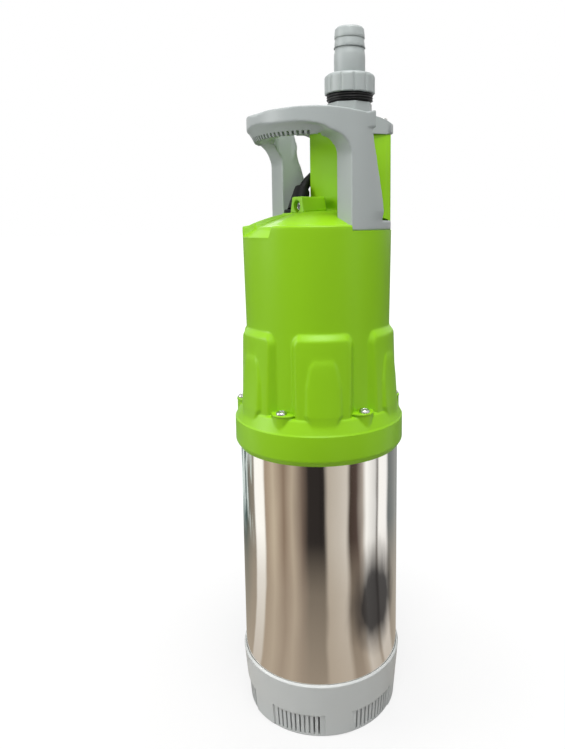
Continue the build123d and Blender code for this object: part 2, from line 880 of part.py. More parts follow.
def riser_bores():
    """The water way: cavity, valve seat, valve chamber and spigot socket."""
    y = outlet_y
    bores = drum(riser_low_bore_r, cavity_top_z - 1, seat_low_z, 0, y)
    bores += drum(seat_bore_r, seat_low_z - 1, valve_seat_z + 1, 0, y)
    bores += drum(valve_bore_r, valve_seat_z, guide_seat_z + 1, 0, y)
    bores += drum(socket_bore_r, guide_seat_z, riser_top_z + 1, 0, y)
    return bores


def handle_foot(gap):
    """The space of the two legs and the collar where they enter the rim."""
    low_z = leg_foot_z
    high_z = riser_top_z + 2
    foot = ring(handle_r + 2, collar_in_r - gap, low_z, collar_top_z)
    foot &= block(-90, 90, leg_front_y - gap, 90, low_z, high_z)
    for side in (-1, 1):
        x0 = side * (leg_inner_x - gap)
        leg = block(min(x0, side * 90), max(x0, side * 90), leg_front_y - gap, leg_rear_low_y + gap, low_z, high_z)
        foot += leg
    clear = riser_half_width
    return foot - block(-clear, clear, -90, 90, low_z - 1, high_z + 1)


def make_shell():
    shell = shell_body()
    shell -= shell_notch()
    shell += drum(gland_seat_r, cavity_top_z + 2, gland_seat_z, gland_x, gland_y)
    shell -= drum(gland_seat_r, gland_seat_z, dome_top_z + 1, gland_x, gland_y)
    shell -= handle_foot(fit_gap / 2)
    shell += around(shell_panel(), panel_count)
    shell += around(shell_buttress(), panel_count)
    shell += around(shell_boss(), boss_count, boss_turn)
    shell += riser_body()
    shell += clamp_block()
    shell -= riser_bores()
    shell -= drum(cavity_r, clamp_top_z + 1, cavity_top_z)
    shell -= drum(gland_neck_r + fit_gap, cavity_top_z - 1, gland_seat_z + 1, gland_x, gland_y)
    flange_hole = Pos(0, -boss_pitch_r, 0) * drum(hole_r, clamp_top_z - 1, boss_top_z + 1)
    shell -= around(flange_hole, boss_count, boss_turn)
    for side in (-1, 1):
        x = side * handle_screw_x
        depth = handle_screw_length - (cap_top_z - riser_top_z) + 2
        shell -= drum(hole_r, riser_top_z - depth, riser_top_z + 1, x, handle_screw_y)
    return shell


def make_flange_screws():
    screw = pan_screw(boss_top_z, boss_top_z - tube_top_z - 2, 0, -boss_pitch_r)
    return around(screw, boss_count, boss_turn)


def make_clamp_screw():
    screw = pan_screw(0, screw_bite, 0, 0)
    seat_y = block_front_y + block_hole_depth
    return Pos(0, seat_y, block_hole_z) * Rot(90, 0, 0) * screw


# Handle


def handle_side():
    """The handle's outline seen from the side, drawn across its whole width."""
    arch_z = grip_inner_low_z + 1.5
    outline = [
        Line((0, leg_front_y, leg_foot_z), (0, leg_rear_low_y, leg_foot_z)),
        Line((0, leg_rear_low_y, leg_foot_z), (0, leg_rear_high_y, riser_top_z)),
        Line((0, leg_rear_high_y, riser_top_z), (0, cap_rear_y, riser_top_z)),
        Line((0, cap_rear_y, riser_top_z), (0, cap_rear_y, cap_top_z - 3)),
        Line((0, cap_rear_y, cap_top_z - 3), (0, cap_front_y + 12, cap_top_z)),
        ThreePointArc(
            (0, cap_front_y + 12, cap_top_z),
            (0, (cap_front_y - grip_r) / 2, grip_top_z - 0.6),
            (0, -grip_r + grip_edge, grip_top_z - 1.4),
        ),
        ThreePointArc(
            (0, -grip_r + grip_edge, grip_top_z - 1.4),
            (0, -grip_r + 0.7, grip_top_z - 3.2),
            (0, -grip_r, grip_top_z - 6),
        ),
        Line((0, -grip_r, grip_top_z - 6), (0, -grip_r, grip_outer_low_z + 2)),
        Line((0, -grip_r, grip_outer_low_z + 2), (0, -grip_r + 3, grip_outer_low_z - 0.5)),
        Line((0, -grip_r + 3, grip_outer_low_z - 0.5), (0, grip_inner_y + 2, arch_z)),
        ThreePointArc(
            (0, grip_inner_y + 2, arch_z),
            (0, leg_front_y - grip_arch * 0.36, arch_z - grip_arch * 0.30),
            (0, leg_front_y, arch_z - grip_arch * 1.25),
        ),
        Line((0, leg_front_y, arch_z - grip_arch * 1.25), (0, leg_front_y, leg_foot_z)),
    ]
    return extrude(make_face(outline), amount=90, dir=(1, 0, 0), both=True)


def handle_plan():
    """The handle's outline seen from above: bowed grip, flanks and riser cap."""
    low_z = leg_foot_z - 1
    high_z = grip_top_z + 5
    flank_x = sqrt(handle_r ** 2 - leg_rear_high_y ** 2)
    flanks = drum(handle_r, low_z, high_z) & block(-90, 90, leg_front_y, leg_rear_low_y, low_z, high_z)
    bow = drum(bow_r, low_z, high_z, 0, bow_r - grip_r) & block(-90, 90, -90, leg_front_y, low_z, high_z)
    cap = Polyline(
        (-flank_x, leg_rear_high_y), (-flank_x, 0), (flank_x, 0), (flank_x, leg_rear_high_y),
        (cap_half_width, cap_rear_y), (-cap_half_width, cap_rear_y), close=True,
    )
    return flanks + bow + Pos(0, 0, low_z) * extrude(make_face(cap), amount=high_z - low_z)


def finger_opening():
    """The upper opening between the grip and the riser cap."""
    end = leg_inner_x
    outline = [
        Line((-end, cap_front_y), (end, cap_front_y)),
        Line((end, cap_front_y), (end, grip_end_y)),
        ThreePointArc((end, grip_end_y), (0, grip_inner_y), (-end, grip_end_y)),
        Line((-end, grip_end_y), (-end, cap_front_y)),
    ]
    face = make_face(outline)
    face = fillet(face.vertices(), 9.0)
    return Pos(0, 0, rim_z) * extrude(face, amount=200)


def grip_notch_row():
    """Cutters of the finger notches along the grip's inner lower edge."""
    sagitta = grip_end_y - grip_inner_y
    bow_r = (leg_inner_x ** 2 + sagitta ** 2) / (2 * sagitta)
    centre_y = grip_inner_y + bow_r
    low_z = grip_inner_low_z - 1
    cutter = block(
        -grip_notch_width / 2, grip_notch_width / 2, -bow_r - grip_notch_reach, 2 - bow_r,
        low_z, grip_inner_low_z + grip_notch_height,
    )
    cutters = []
    for index in range(grip_notches):
        x = grip_notch_span * (2 * index / (grip_notches - 1) - 1)
        cutters.append(Pos(0, centre_y, 0) * Rot(0, 0, degrees(asin(x / bow_r))) * cutter)
    return cutters


def handle_window():
    """The space under grip and cap, between the two legs."""
    end = leg_inner_x
    under_grip = front_plate(
        [(-end, rim_z - 20), (end, rim_z - 20), (end, grip_inner_low_z), (-end, grip_inner_low_z)],
        -cap_front_y, 90 + cap_front_y, 0, grip_arch,
    )
    under_cap = block(-end, end, cap_front_y - 1, 90, rim_z - 20, riser_top_z)
    return under_grip + under_cap


def leg_cut():
    """The cutter that slants a leg's inner rear edge, forwards towards the cap."""
    high_y = leg_rear_high_y - leg_cut_high
    low_y = leg_rear_low_y + leg_cut_low
    outer_y = leg_rear_low_y + leg_cut_outer
    inner_x = leg_inner_x - 20
    outer_x = handle_r + 1
    high = Polyline(
        (inner_x, high_y), (leg_inner_x, high_y), (outer_x, leg_rear_high_y), (outer_x, 90), (inner_x, 90), close=True,
    )
    low = Polyline(
        (inner_x, low_y), (leg_inner_x, low_y), (outer_x, outer_y), (outer_x, 90), (inner_x, 90), close=True,
    )
    return loft([Pos(0, 0, leg_cut_z) * make_face(low), Pos(0, 0, riser_top_z) * make_face(high)], ruled=True)


def make_handle():
    handle = handle_side() & handle_plan()
    handle -= handle_window()
    handle -= leg_cut()
    handle -= mirror(leg_cut(), about=Plane.YZ)
    handle -= finger_opening()
    handle -= grip_notch_row()
    collar = ring(handle_r, collar_in_r, leg_foot_z, collar_top_z)
    collar &= block(-90, 90, leg_front_y, 90, leg_foot_z, collar_top_z)
    gap_x = riser_half_width + fit_gap
    collar -= block(-gap_x, gap_x, -90, 90, leg_foot_z - 1, collar_top_z + 1)
    handle += collar
    handle -= drum(spigot_flange_r + fit_gap, riser_top_z - 1, riser_top_z + spigot_flange + fit_gap, 0, outlet_y)
    corner_r = spigot_flat_r / cos(pi / 8)
    handle -= drum(corner_r + 0.6, riser_top_z, grip_top_z + 1, 0, outlet_y)
    for side in (-1, 1):
        x = side * handle_screw_x
        handle += drum(screw_head_r + cap_seat_lip, riser_top_z + 1, cap_seat_z, x, handle_screw_y)
        handle -= drum(hole_r, riser_top_z - 1, cap_top_z + 5, x, handle_screw_y)
    return handle


def make_handle_screws():
    length = handle_screw_length - (cap_top_z - cap_seat_z)
    return [pan_screw(cap_seat_z, length, side * handle_screw_x, handle_screw_y) for side in (-1, 1)]


# Outlet


def make_spigot():
    y = outlet_y
    neck = extrude(RegularPolygon(spigot_flat_r, 8, major_radius=False), amount=spigot_top_z - riser_top_z)
    part = Pos(0, y, riser_top_z) * Rot(0, 0, 22.5) * neck
    part += drum(spigot_flange_r, riser_top_z, riser_top_z + spigot_flange, 0, y)
    part += drum(socket_bore_r - fit_gap, spigot_low_z + seat_gap, riser_top_z + 1, 0, y)
    part -= drum(spigot_bore_r, spigot_low_z - 1, spigot_top_z + 1, 0, y)
    return part - drum(spigot_socket_r, spigot_top_z - spigot_socket_depth, spigot_top_z + 1, 0, y)


def make_washer():
    return ring(washer_r, spigot_socket_r + fit_gap, spigot_top_z, spigot_top_z + washer_height, 0, outlet_y)


def make_adapter():
    low_z = spigot_top_z + washer_height
    part = drum(spigot_socket_r - fit_gap, spigot_top_z - adapter_shank, low_z + 1, 0, outlet_y)
    collar = drum(adapter_collar_r, low_z, low_z + adapter_collar, 0, outlet_y)
    part += chamfer(collar.edges().group_by(Axis.Z)[0], 1.5)
    part += drum(adapter_thread_r, low_z, adapter_top_z, 0, outlet_y)
    return part - drum(adapter_bore_r, spigot_top_z - 30, adapter_top_z + 1, 0, outlet_y)


def make_gasket():
    return ring(adapter_thread_r - 1, adapter_bore_r, adapter_top_z, adapter_top_z + gasket_height, 0, outlet_y)


def make_nut():
    flange_top_z = adapter_top_z + gasket_height + tail_flange
    body = drum(nut_outer_r, nut_low_z, nut_top_z)
    body = fillet(body.edges().group_by(Axis.Z)[-1], nut_shoulder)
    body = chamfer(body.edges().group_by(Axis.Z)[0], 0.8)
    reach = nut_outer_r + nut_groove_r - nut_groove_depth
    groove = drum(nut_groove_r, nut_low_z - 1, nut_top_z - nut_shoulder * 0.8, reach)
    body -= around(groove, nut_lobes)
    body -= drum(adapter_thread_r + nut_thread_gap, nut_low_z - 1, flange_top_z + fit_gap)
    body -= drum(tail_r + fit_gap, nut_low_z, nut_top_z + 1)
    return Pos(0, outlet_y, 0) * body


def make_hose_tail():
    low_z = adapter_top_z + gasket_height
    flange_top_z = low_z + tail_flange
    flange_edge_r = adapter_thread_r - 0.7
    tail = turned([
        (tail_bore_r, low_z),
        (flange_edge_r, low_z),
        (flange_edge_r, flange_top_z),
        (tail_r - tail_relief, flange_top_z),
        (tail_r - tail_relief, nut_top_z + tail_relief_rise),
        (tail_r, nut_top_z + tail_relief_rise),
        (tail_r, tail_plain_z),
        (tail_neck_r, tail_plain_z + 1.2),
        (tail_neck_r, barb_low_z),
        (barb_r, barb_low_z + 0.5),
        (tail_neck_r, barb_high_z),
        (barb_r, barb_high_z + 0.5),
        (tail_neck_r + 0.3, tail_top_z - 0.8),
        (tail_neck_r - 0.6, tail_top_z),
        (tail_bore_r, tail_top_z),
    ])
    return Pos(0, outlet_y, 0) * tail


# Check valve


def make_valve_guide():
    low_z = guide_seat_z + seat_gap
    outer = socket_bore_r - fit_gap
    part = ring(outer, outer - guide_wall, low_z, low_z + guide_height - seat_gap)
    arm = block(-outer + 1, outer - 1, -guide_arm / 2, guide_arm / 2, low_z, low_z + guide_height - seat_gap)
    part += arm
    part += Rot(0, 0, 90) * arm
    part += drum(guide_hub_r, low_z, low_z + guide_height - seat_gap)
    part -= drum(valve_stem_r + running_gap, low_z - 1, low_z + guide_height + 1)
    return Pos(0, outlet_y, 0) * part


def make_valve_seal():
    low_z = valve_seat_z + seat_gap
    return ring(valve_disc_r - 0.5, seat_bore_r - 3, low_z, low_z + valve_seal_height, 0, outlet_y)


def make_valve_disc():
    low_z = valve_seat_z + seat_gap + valve_seal_height
    part = drum(valve_disc_r, low_z, low_z + valve_disc_height)
    part += drum(seat_bore_r - 3 - running_gap, low_z - valve_seal_height, low_z + 1)
    part += drum(valve_stem_r, low_z, low_z + valve_stem_height)
    return Pos(0, outlet_y, 0) * part


def make_valve_spring():
    low_z = valve_seat_z + seat_gap + valve_seal_height + valve_disc_height + spring_wire_r + running_gap
    height = guide_seat_z - low_z - spring_wire_r
    path = Helix(pitch=height / spring_turns, height=height, radius=spring_coil_r)
    section = Plane(origin=path @ 0, z_dir=path % 0) * Circle(spring_wire_r)
    return Pos(0, outlet_y, low_z) * sweep(section, path=path, is_frenet=True)


# Cable, coil and plug


def make_protector():
    axis = Vector(*protector_top) - Vector(*protector_base)
    start = Vector(*protector_base) + axis.normalized() * 2.0
    low_plane = Plane(origin=start, z_dir=axis)
    run = Vector(*cable_points[1]) - Vector(*cable_points[0])
    high_plane = Plane(origin=Vector(*protector_top), z_dir=run)
    sleeve = loft([low_plane * Circle(protector_low_r), high_plane * Circle(protector_top_r)])
    foot = drum(protector_flange_r, gland_seat_z, gland_seat_z + protector_flange, gland_x, gland_y)
    foot = fillet(foot.edges().group_by(Axis.Z)[-1], 1.5)
    return foot + (sleeve & block(-90, 90, -90, 90, gland_seat_z, 600))


def corner_radii(points):
    """The largest arc that each corner's two runs allow."""
    radii = []
    for before, corner, after in zip(points, points[1:], points[2:]):
        run_in = Vector(*corner) - Vector(*before)
        run_out = Vector(*after) - Vector(*corner)
        turn = radians(run_in.get_angle(run_out))
        radii.append(0.45 * min(run_in.length, run_out.length) / tan(turn / 2))
    return radii


def round_tube(points, r):
    """A tube of straight runs joined by tangent arcs."""
    radii = corner_radii(points)
    path = FilletPolyline(*points, radius=radii)
    tube = sweep(Plane(origin=path @ 0, z_dir=path % 0) * Circle(r), path=path)
    share = tube.volume / (pi * r * r * path.length)
    print("tube radii", [round(value, 1) for value in radii], "length", round(path.length, 1), "volume share", round(share, 4))
    return tube


def make_cable():
    return round_tube(cable_points, cable_r)


def make_coil():
    half = (coil_out_r - coil_in_r) / 2
    height = coil_top_z - coil_lift
    section = Pos(coil_mean_r, coil_lift + height / 2) * RectangleRounded(2 * half, height, coil_edge)
    coil = revolve(Plane.XZ * section, axis=Axis.Z)
    return Pos(coil_x, coil_y, 0) * coil


def make_coil_tie():
    gap = running_gap
    t = tie_thickness
    half = tie_width / 2
    low = coil_lift - gap
    high = coil_top_z + gap
    near = sqrt(coil_in_r ** 2 - half ** 2) - gap
    far = coil_out_r + gap
    inner = block(near, far, -tie_width, tie_width, low, high)
    band = block(near - t, far + t, -half, half, low - t, high + t)
    return Pos(coil_x, coil_y, 0) * Rot(0, 0, tie_turn) * (band - inner)


def tail_points():
    """The last part of the cord: on top of the coil, rising to the plug's neck."""
    low = coil_top_z + cable_r + running_gap
    high = coil_top_z + plug_r + plug_tilt_rise
    points = []
    for step in range(tail_steps + 1):
        share = step / tail_steps
        angle = radians(tail_start + (tail_end - tail_start) * share)
        rise = min(1.0, max(0.0, (share - 0.2) / 0.6))
        z = low + (high - low) * rise * rise * (3 - 2 * rise)
        r = tail_start_r - tail_drift * share ** 2
        points.append((coil_x + r * cos(angle), coil_y + r * sin(angle), z))
    return points


def plug_frame():
    """The plane of the cord's end, with its normal along the plug."""
    points = tail_points()
    axis = Vector(*points[-1]) - Vector(*points[-2])
    return Plane(origin=Vector(*points[-1]), x_dir=(0, 0, 1), z_dir=(axis.X, axis.Y, 0))


def make_tail():
    return round_tube(tail_points(), cable_r)


def make_plug():
    outline = Polyline(
        (0, 0, seat_gap), (plug_neck_r, 0, seat_gap), (plug_neck_r + 1.5, 0, plug_neck),
        (plug_r, 0, plug_neck + 8), (plug_r, 0, plug_neck + plug_length), (0, 0, plug_neck + plug_length),
        close=True,
    )
    body = revolve(make_face(outline), axis=Axis.Z)
    return plug_frame() * body


def make_pins():
    low = plug_neck + plug_length
    pins = []
    for side in (-1, 1):
        pin = drum(pin_r, low, low + pin_length, 0, side * pin_spacing / 2)
        pins.append(plug_frame() * fillet(pin.edges().group_by(Axis.Z)[-1], 1.2))
    return pins


# Every sub-part, by the name of its file


def build_parts():
    parts = {
        "base_strainer": make_base(),
        "base_screws": make_base_screws(),
        "suction_plate": make_suction_plate(),
        "lower_tube_seal": make_tube_seal(base_seat_z + (suction_plate_height - seal_groove) / 2),
        "outer_tube": make_tube(),
        "clamp_ring": make_clamp_ring(),
        "upper_tube_seal": make_tube_seal(clamp_low_z + 4.0),
        "tie_rods": make_tie_rods(),
        "impeller_spacers": make_spacers(),
        "impeller_nut": make_impeller_nut(),
        "pump_shaft": make_shaft(),
        "seal_head": make_seal_head(),
        "seal_seat": make_seal_seat(),
        "lower_bearing": make_bearing(lower_bearing_z),
        "upper_bearing": make_bearing(upper_bearing_z),
        "lower_bearing_bracket": make_lower_bracket(),
        "upper_bearing_bracket": make_upper_bracket(),
        "motor_can": make_can(),
        "stator_core": make_stator(),
        "stator_winding": make_winding(),
        "rotor_core": make_rotor(),
        "capacitor": make_capacitor(),
        "terminal_block": make_terminal_block(),
        "can_lid": make_lid(),
        "cable_gland": make_gland(),
        "inner_lead": make_inner_lead(),
        "upper_shell": make_shell(),
        "flange_screws": make_flange_screws(),
        "clamp_screw": make_clamp_screw(),
        "handle": make_handle(),
        "handle_screws": make_handle_screws(),
        "outlet_spigot": make_spigot(),
        "outlet_washer": make_washer(),
        "outlet_adapter": make_adapter(),
        "union_gasket": make_gasket(),
        "union_nut": make_nut(),
        "hose_tail": make_hose_tail(),
        "valve_guide": make_valve_guide(),
        "valve_spring": make_valve_spring(),
        "valve_seal": make_valve_seal(),
        "valve_disc": make_valve_disc(),
        "bend_protector": make_protector(),
        "power_cable": make_cable(),
        "cable_coil": make_coil(),
        "coil_tie": make_coil_tie(),
        "cable_tail": make_tail(),
        "plug_body": make_plug(),
        "plug_pins": make_pins(),
    }
    for stage in range(stage_count):
        parts[f"stage_bowl_{stage + 1}"] = make_bowl(stage)
        parts[f"impeller_{stage + 1}"] = make_impeller(stage)
    return parts


os.makedirs("parts", exist_ok=True)
for name, part in build_parts().items():
    if isinstance(part, list):
        part = Compound(children=part)
    export_step(part, f"parts/{name}.step")
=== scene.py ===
"""The looks of a submersible multistage pump, laid out as an add-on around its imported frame."""

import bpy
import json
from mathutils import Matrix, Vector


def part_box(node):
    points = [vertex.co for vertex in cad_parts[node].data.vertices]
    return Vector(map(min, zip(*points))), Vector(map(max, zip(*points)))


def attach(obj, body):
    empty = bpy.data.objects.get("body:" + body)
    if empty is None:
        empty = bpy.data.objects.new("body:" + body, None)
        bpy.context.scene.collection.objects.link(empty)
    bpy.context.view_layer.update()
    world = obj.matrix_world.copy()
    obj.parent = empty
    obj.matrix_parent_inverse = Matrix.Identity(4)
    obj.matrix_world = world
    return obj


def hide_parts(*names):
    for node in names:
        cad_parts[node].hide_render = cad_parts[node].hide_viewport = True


bl_info = {
    "name": "Submersible pump",
    "version": (1, 0, 0),
    "blender": (4, 5, 0),
    "location": "View3D > Sidebar > Pump",
    "description": "Dresses the packed frame of a submersible pump and sets up its stage",
    "category": "Object",
}

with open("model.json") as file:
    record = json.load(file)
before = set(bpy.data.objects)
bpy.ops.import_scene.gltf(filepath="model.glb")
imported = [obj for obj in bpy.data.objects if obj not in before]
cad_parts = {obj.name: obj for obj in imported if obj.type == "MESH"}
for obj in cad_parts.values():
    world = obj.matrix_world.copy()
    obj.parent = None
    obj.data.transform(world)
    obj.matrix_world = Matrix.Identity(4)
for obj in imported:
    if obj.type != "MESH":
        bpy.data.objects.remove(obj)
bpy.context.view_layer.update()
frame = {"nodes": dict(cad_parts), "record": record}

import json
import math

import bpy
import numpy as np
from bpy.props import FloatProperty, FloatVectorProperty, IntProperty, PointerProperty
from mathutils import Matrix, Quaternion, Vector

# Lengths are in millimetres where nothing else is said, and MM turns them into metres
MM = 0.001
TAU = 2 * math.pi
CAMERA_AZIMUTH = 56.6
IMAGE_HEIGHT = 749.0


# Sizes read from the frame, in millimetres


def low_of(node):
    """Height of a node's lowest point."""
    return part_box(node)[0].z / MM


def top_of(node):
    """Height of a node's highest point."""
    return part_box(node)[1].z / MM


def radius_of(node):
    """Half of a node's width along X."""
    low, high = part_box(node)
    return (high.x - low.x) / 2 / MM


# Functions of arrays


def smooth(x):
    """Goes from 0 to 1 as x does, level at both ends: 3 x squared less 2 x cubed."""
    t = np.clip(x, 0.0, 1.0)
    return t * t * (3 - 2 * t)


def eased(x, start, end):
    """0 at start and beyond, 1 at end and beyond, smooth between; end may be the smaller of the two."""
    return smooth((x - start) / (end - start))


def weight(place, spans):
    """The product of eased steps, each between two values of one of the place's coordinates."""
    product = 1.0
    for axis, start, end in spans:
        product = product * eased(place[axis], start, end)
    return product


def course(x, pairs):
    """A value that runs straight from each (x, value) pair to the next."""
    return np.interp(x, *zip(*pairs))


def soft_max(a, b, k):
    """The larger of two arrays, rounded over a width of k."""
    return 0.5 * (a + b + np.sqrt((a - b) ** 2 + k * k))


def soft_min(a, b, k):
    """The smaller of two arrays, rounded over a width of k."""
    return 0.5 * (a + b - np.sqrt((a - b) ** 2 + k * k))


def corner_min(a, b, r):
    """The smaller of two rises, with a round corner of radius r where both are small."""
    corner = r - np.hypot(np.maximum(r - a, 0), np.maximum(r - b, 0))
    return np.where((a < r) & (b < r), corner, np.minimum(a, b))


def wrapped(angle, count, first=0.0):
    """The angle in degrees from the nearest of count evenly spaced directions."""
    step = 360.0 / count
    return (angle - first + step / 2) % step - step / 2


def rounded(points, radii, steps=6):
    """An open outline whose inner corners become arcs: each arc is tangent to both runs at its corner."""
    points = [np.array(p, float) for p in points]
    out = [points[0]]
    for before, corner, after, r in zip(points, points[1:], points[2:], radii):
        a, b = before - corner, after - corner
        a, b = a / np.linalg.norm(a), b / np.linalg.norm(b)
        half = math.acos(np.clip(a @ b, -1, 1)) / 2
        reach = r / math.tan(half)
        middle = (a + b) / np.linalg.norm(a + b)
        centre = corner + middle * r / math.sin(half)
        start, end = corner + a * reach - centre, corner + b * reach - centre
        turn = math.atan2(start[0] * end[1] - start[1] * end[0], start @ end)
        bend = np.linspace(0.0, turn, steps + 1)[:, None]
        out.extend(centre + np.cos(bend) * start + np.sin(bend) * np.array([-start[1], start[0]]))
    out.append(points[-1])
    return np.array(out)


# Meshes


def polar_points(radius, turn, height, centre=(0.0, 0.0)):
    """Points in metres at a radius and a height for every angle in degrees, counted from -Y towards +X."""
    angle = np.radians(turn)
    x = centre[0] + radius * np.sin(angle)
    y = centre[1] - radius * np.cos(angle)
    return np.stack(np.broadcast_arrays(x, y, height), -1) * MM


def even_turns(columns):
    """Evenly spaced angles in degrees."""
    return np.arange(columns) * 360.0 / columns


def runs(rows):
    """A column of values from (first, last, count) rows, evenly spaced in each."""
    return np.concatenate([np.linspace(*row) for row in rows])[:, None]


def sides(profile):
    """The radii and the heights of a profile of pairs, as two columns."""
    profile = np.array(profile, float)
    return profile[:, :1], profile[:, 1:]


def stacked(columns, *parts):
    """Rows of radii and rows of heights from (radii, heights) parts, each spread over the columns."""
    spread = [[np.broadcast_to(values, (len(values), columns)) for values in part] for part in parts]
    return [np.vstack(kind) for kind in zip(*spread)]


def turned_points(profile, columns, centre=(0.0, 0.0)):
    """A profile of (radius, height) pairs carried round the vertical through centre."""
    r, z = sides(profile)
    return polar_points(r, even_turns(columns), z, centre)


def grid_part(points, caps=()):
    """Points and faces of closed rows: quads between rows, and a fan over each capped row."""
    rows, columns = points.shape[:2]
    column = np.arange(columns)
    r, c = np.meshgrid(np.arange(rows - 1) * columns, column, indexing="ij")
    n = (c + 1) % columns
    faces = [np.stack([r + c, r + n, r + columns + n, r + columns + c], -1).reshape(-1, 4)]
    vertices = [points.reshape(-1, 3)]
    for count, row in enumerate(caps):
        here = row % rows * columns + column
        edge = [np.roll(here, -1), here] if row == 0 else [here, np.roll(here, -1)]
        faces.append(np.stack([*edge, np.full(columns, rows * columns + count)], -1))
        vertices.append(points[row].mean(axis=0)[None])
    return np.vstack(vertices), faces


def prism(outline, heights):
    """Points and faces of an upright block between two heights, over an outline that runs anticlockwise."""
    index = np.arange(len(outline))
    ahead, up = np.roll(index, -1), len(outline)
    points = np.vstack([np.column_stack([outline, np.full(up, z)]) for z in heights]) * MM
    walls = np.stack([index, ahead, ahead + up, index + up], -1)
    return points, [np.stack([index[::-1], index + up]), walls]


def add_object(name, data):
    """A new object in the scene."""
    thing = bpy.data.objects.new(name, data)
    bpy.context.scene.collection.objects.link(thing)
    return thing


def joined(name, parts, sharp=40.0):
    """One smooth mesh object from (points, arrays of faces) pairs; edges sharper than an angle stay crisp."""
    starts = np.cumsum([0] + [len(points) for points, arrays in parts])
    faces = []
    for start, (points, arrays) in zip(starts, parts):
        for array in arrays:
            faces += (array + start).tolist()
    mesh = bpy.data.meshes.new(name)
    mesh.from_pydata(np.vstack([points for points, arrays in parts]), [], faces)
    mesh.validate()
    mesh.update()
    crisp(mesh, sharp)
    return add_object(name, mesh)


def grid_object(name, points, sharp=40.0):
    """One mesh object from rows of points that close on themselves."""
    return joined(name, [grid_part(points)], sharp)


def crisp(mesh, sharp):
    """Smooth shading, but for the edges that are sharper than an angle in degrees."""
    mesh.polygons.foreach_set("use_smooth", np.ones(len(mesh.polygons), bool))
    mesh.set_sharp_from_angle(angle=math.radians(sharp))


def evaluated_copy(thing, name):
    """The mesh that a thing shows with its modifiers, as a new object."""
    graph = bpy.context.evaluated_depsgraph_get()
    return add_object(name, bpy.data.meshes.new_from_object(thing.evaluated_get(graph)))


def modify(thing, kind, **settings):
    """Adds a modifier with its settings."""
    made = thing.modifiers.new(kind.lower(), kind)
    for key, value in settings.items():
        setattr(made, key, value)


def dress(thing, body, slot, replaces=()):
    """Gives a piece its body, its slot with the slot's finish, and the nodes that it stands for."""
    thing.data.materials.clear()
    thing.data.materials.append(finish_named(slot))
    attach(thing, body)
    if replaces:
        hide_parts(*replaces)


# Materials


def arithmetic(operation, reflected=False):
    """A method that adds a Math node over a signal and another value, in the other order where reflected."""
    def method(signal, other):
        return signal.maths(operation, *((other, signal) if reflected else (signal, other)))
    return method


class Signal:
    """A node's output that takes Python arithmetic and adds Math nodes for it."""

    __add__, __radd__ = arithmetic("ADD"), arithmetic("ADD", True)
    __sub__, __rsub__ = arithmetic("SUBTRACT"), arithmetic("SUBTRACT", True)
    __mul__, __rmul__ = arithmetic("MULTIPLY"), arithmetic("MULTIPLY", True)
    __truediv__ = arithmetic("DIVIDE")

    def __init__(self, nodes, socket):
        self.nodes = nodes
        self.socket = socket

    def maths(self, operation, *values):
        """The output of a Math node over values and signals."""
        return self.nodes.node("ShaderNodeMath", {"operation": operation}, dict(enumerate(values)))

    def root(self):
        """The square root."""
        return self.maths("SQRT", self)


class Nodes:
    """Adds nodes to a tree by type."""

    def __init__(self, tree):
        self.tree = tree

    def node(self, kind, settings=None, values=None, output=0):
        """Adds a node with its settings first, then the values or links of its sockets."""
        made = self.tree.nodes.new(kind)
        for key, value in (settings or {}).items():
            if key == "stops":
                self.set_stops(made, value)
            else:
                setattr(made, key, value)
        for key, value in (values or {}).items():
            self.feed(made.inputs[key], value)
        return Signal(self, made.outputs[output])

    def set_stops(self, ramp, stops):
        """Puts (place, colour) stops on a colour ramp."""
        elements = ramp.color_ramp.elements
        while len(elements) < len(stops):
            elements.new(0.5)
        for element, (place, colour) in zip(elements, stops):
            element.position = place
            element.color = (*colour, 1.0)

    def feed(self, socket, value):
        """Links a signal to a socket, or sets the socket's own value."""
        if isinstance(value, Signal):
            self.tree.links.new(value.socket, socket)
        else:
            socket.default_value = value


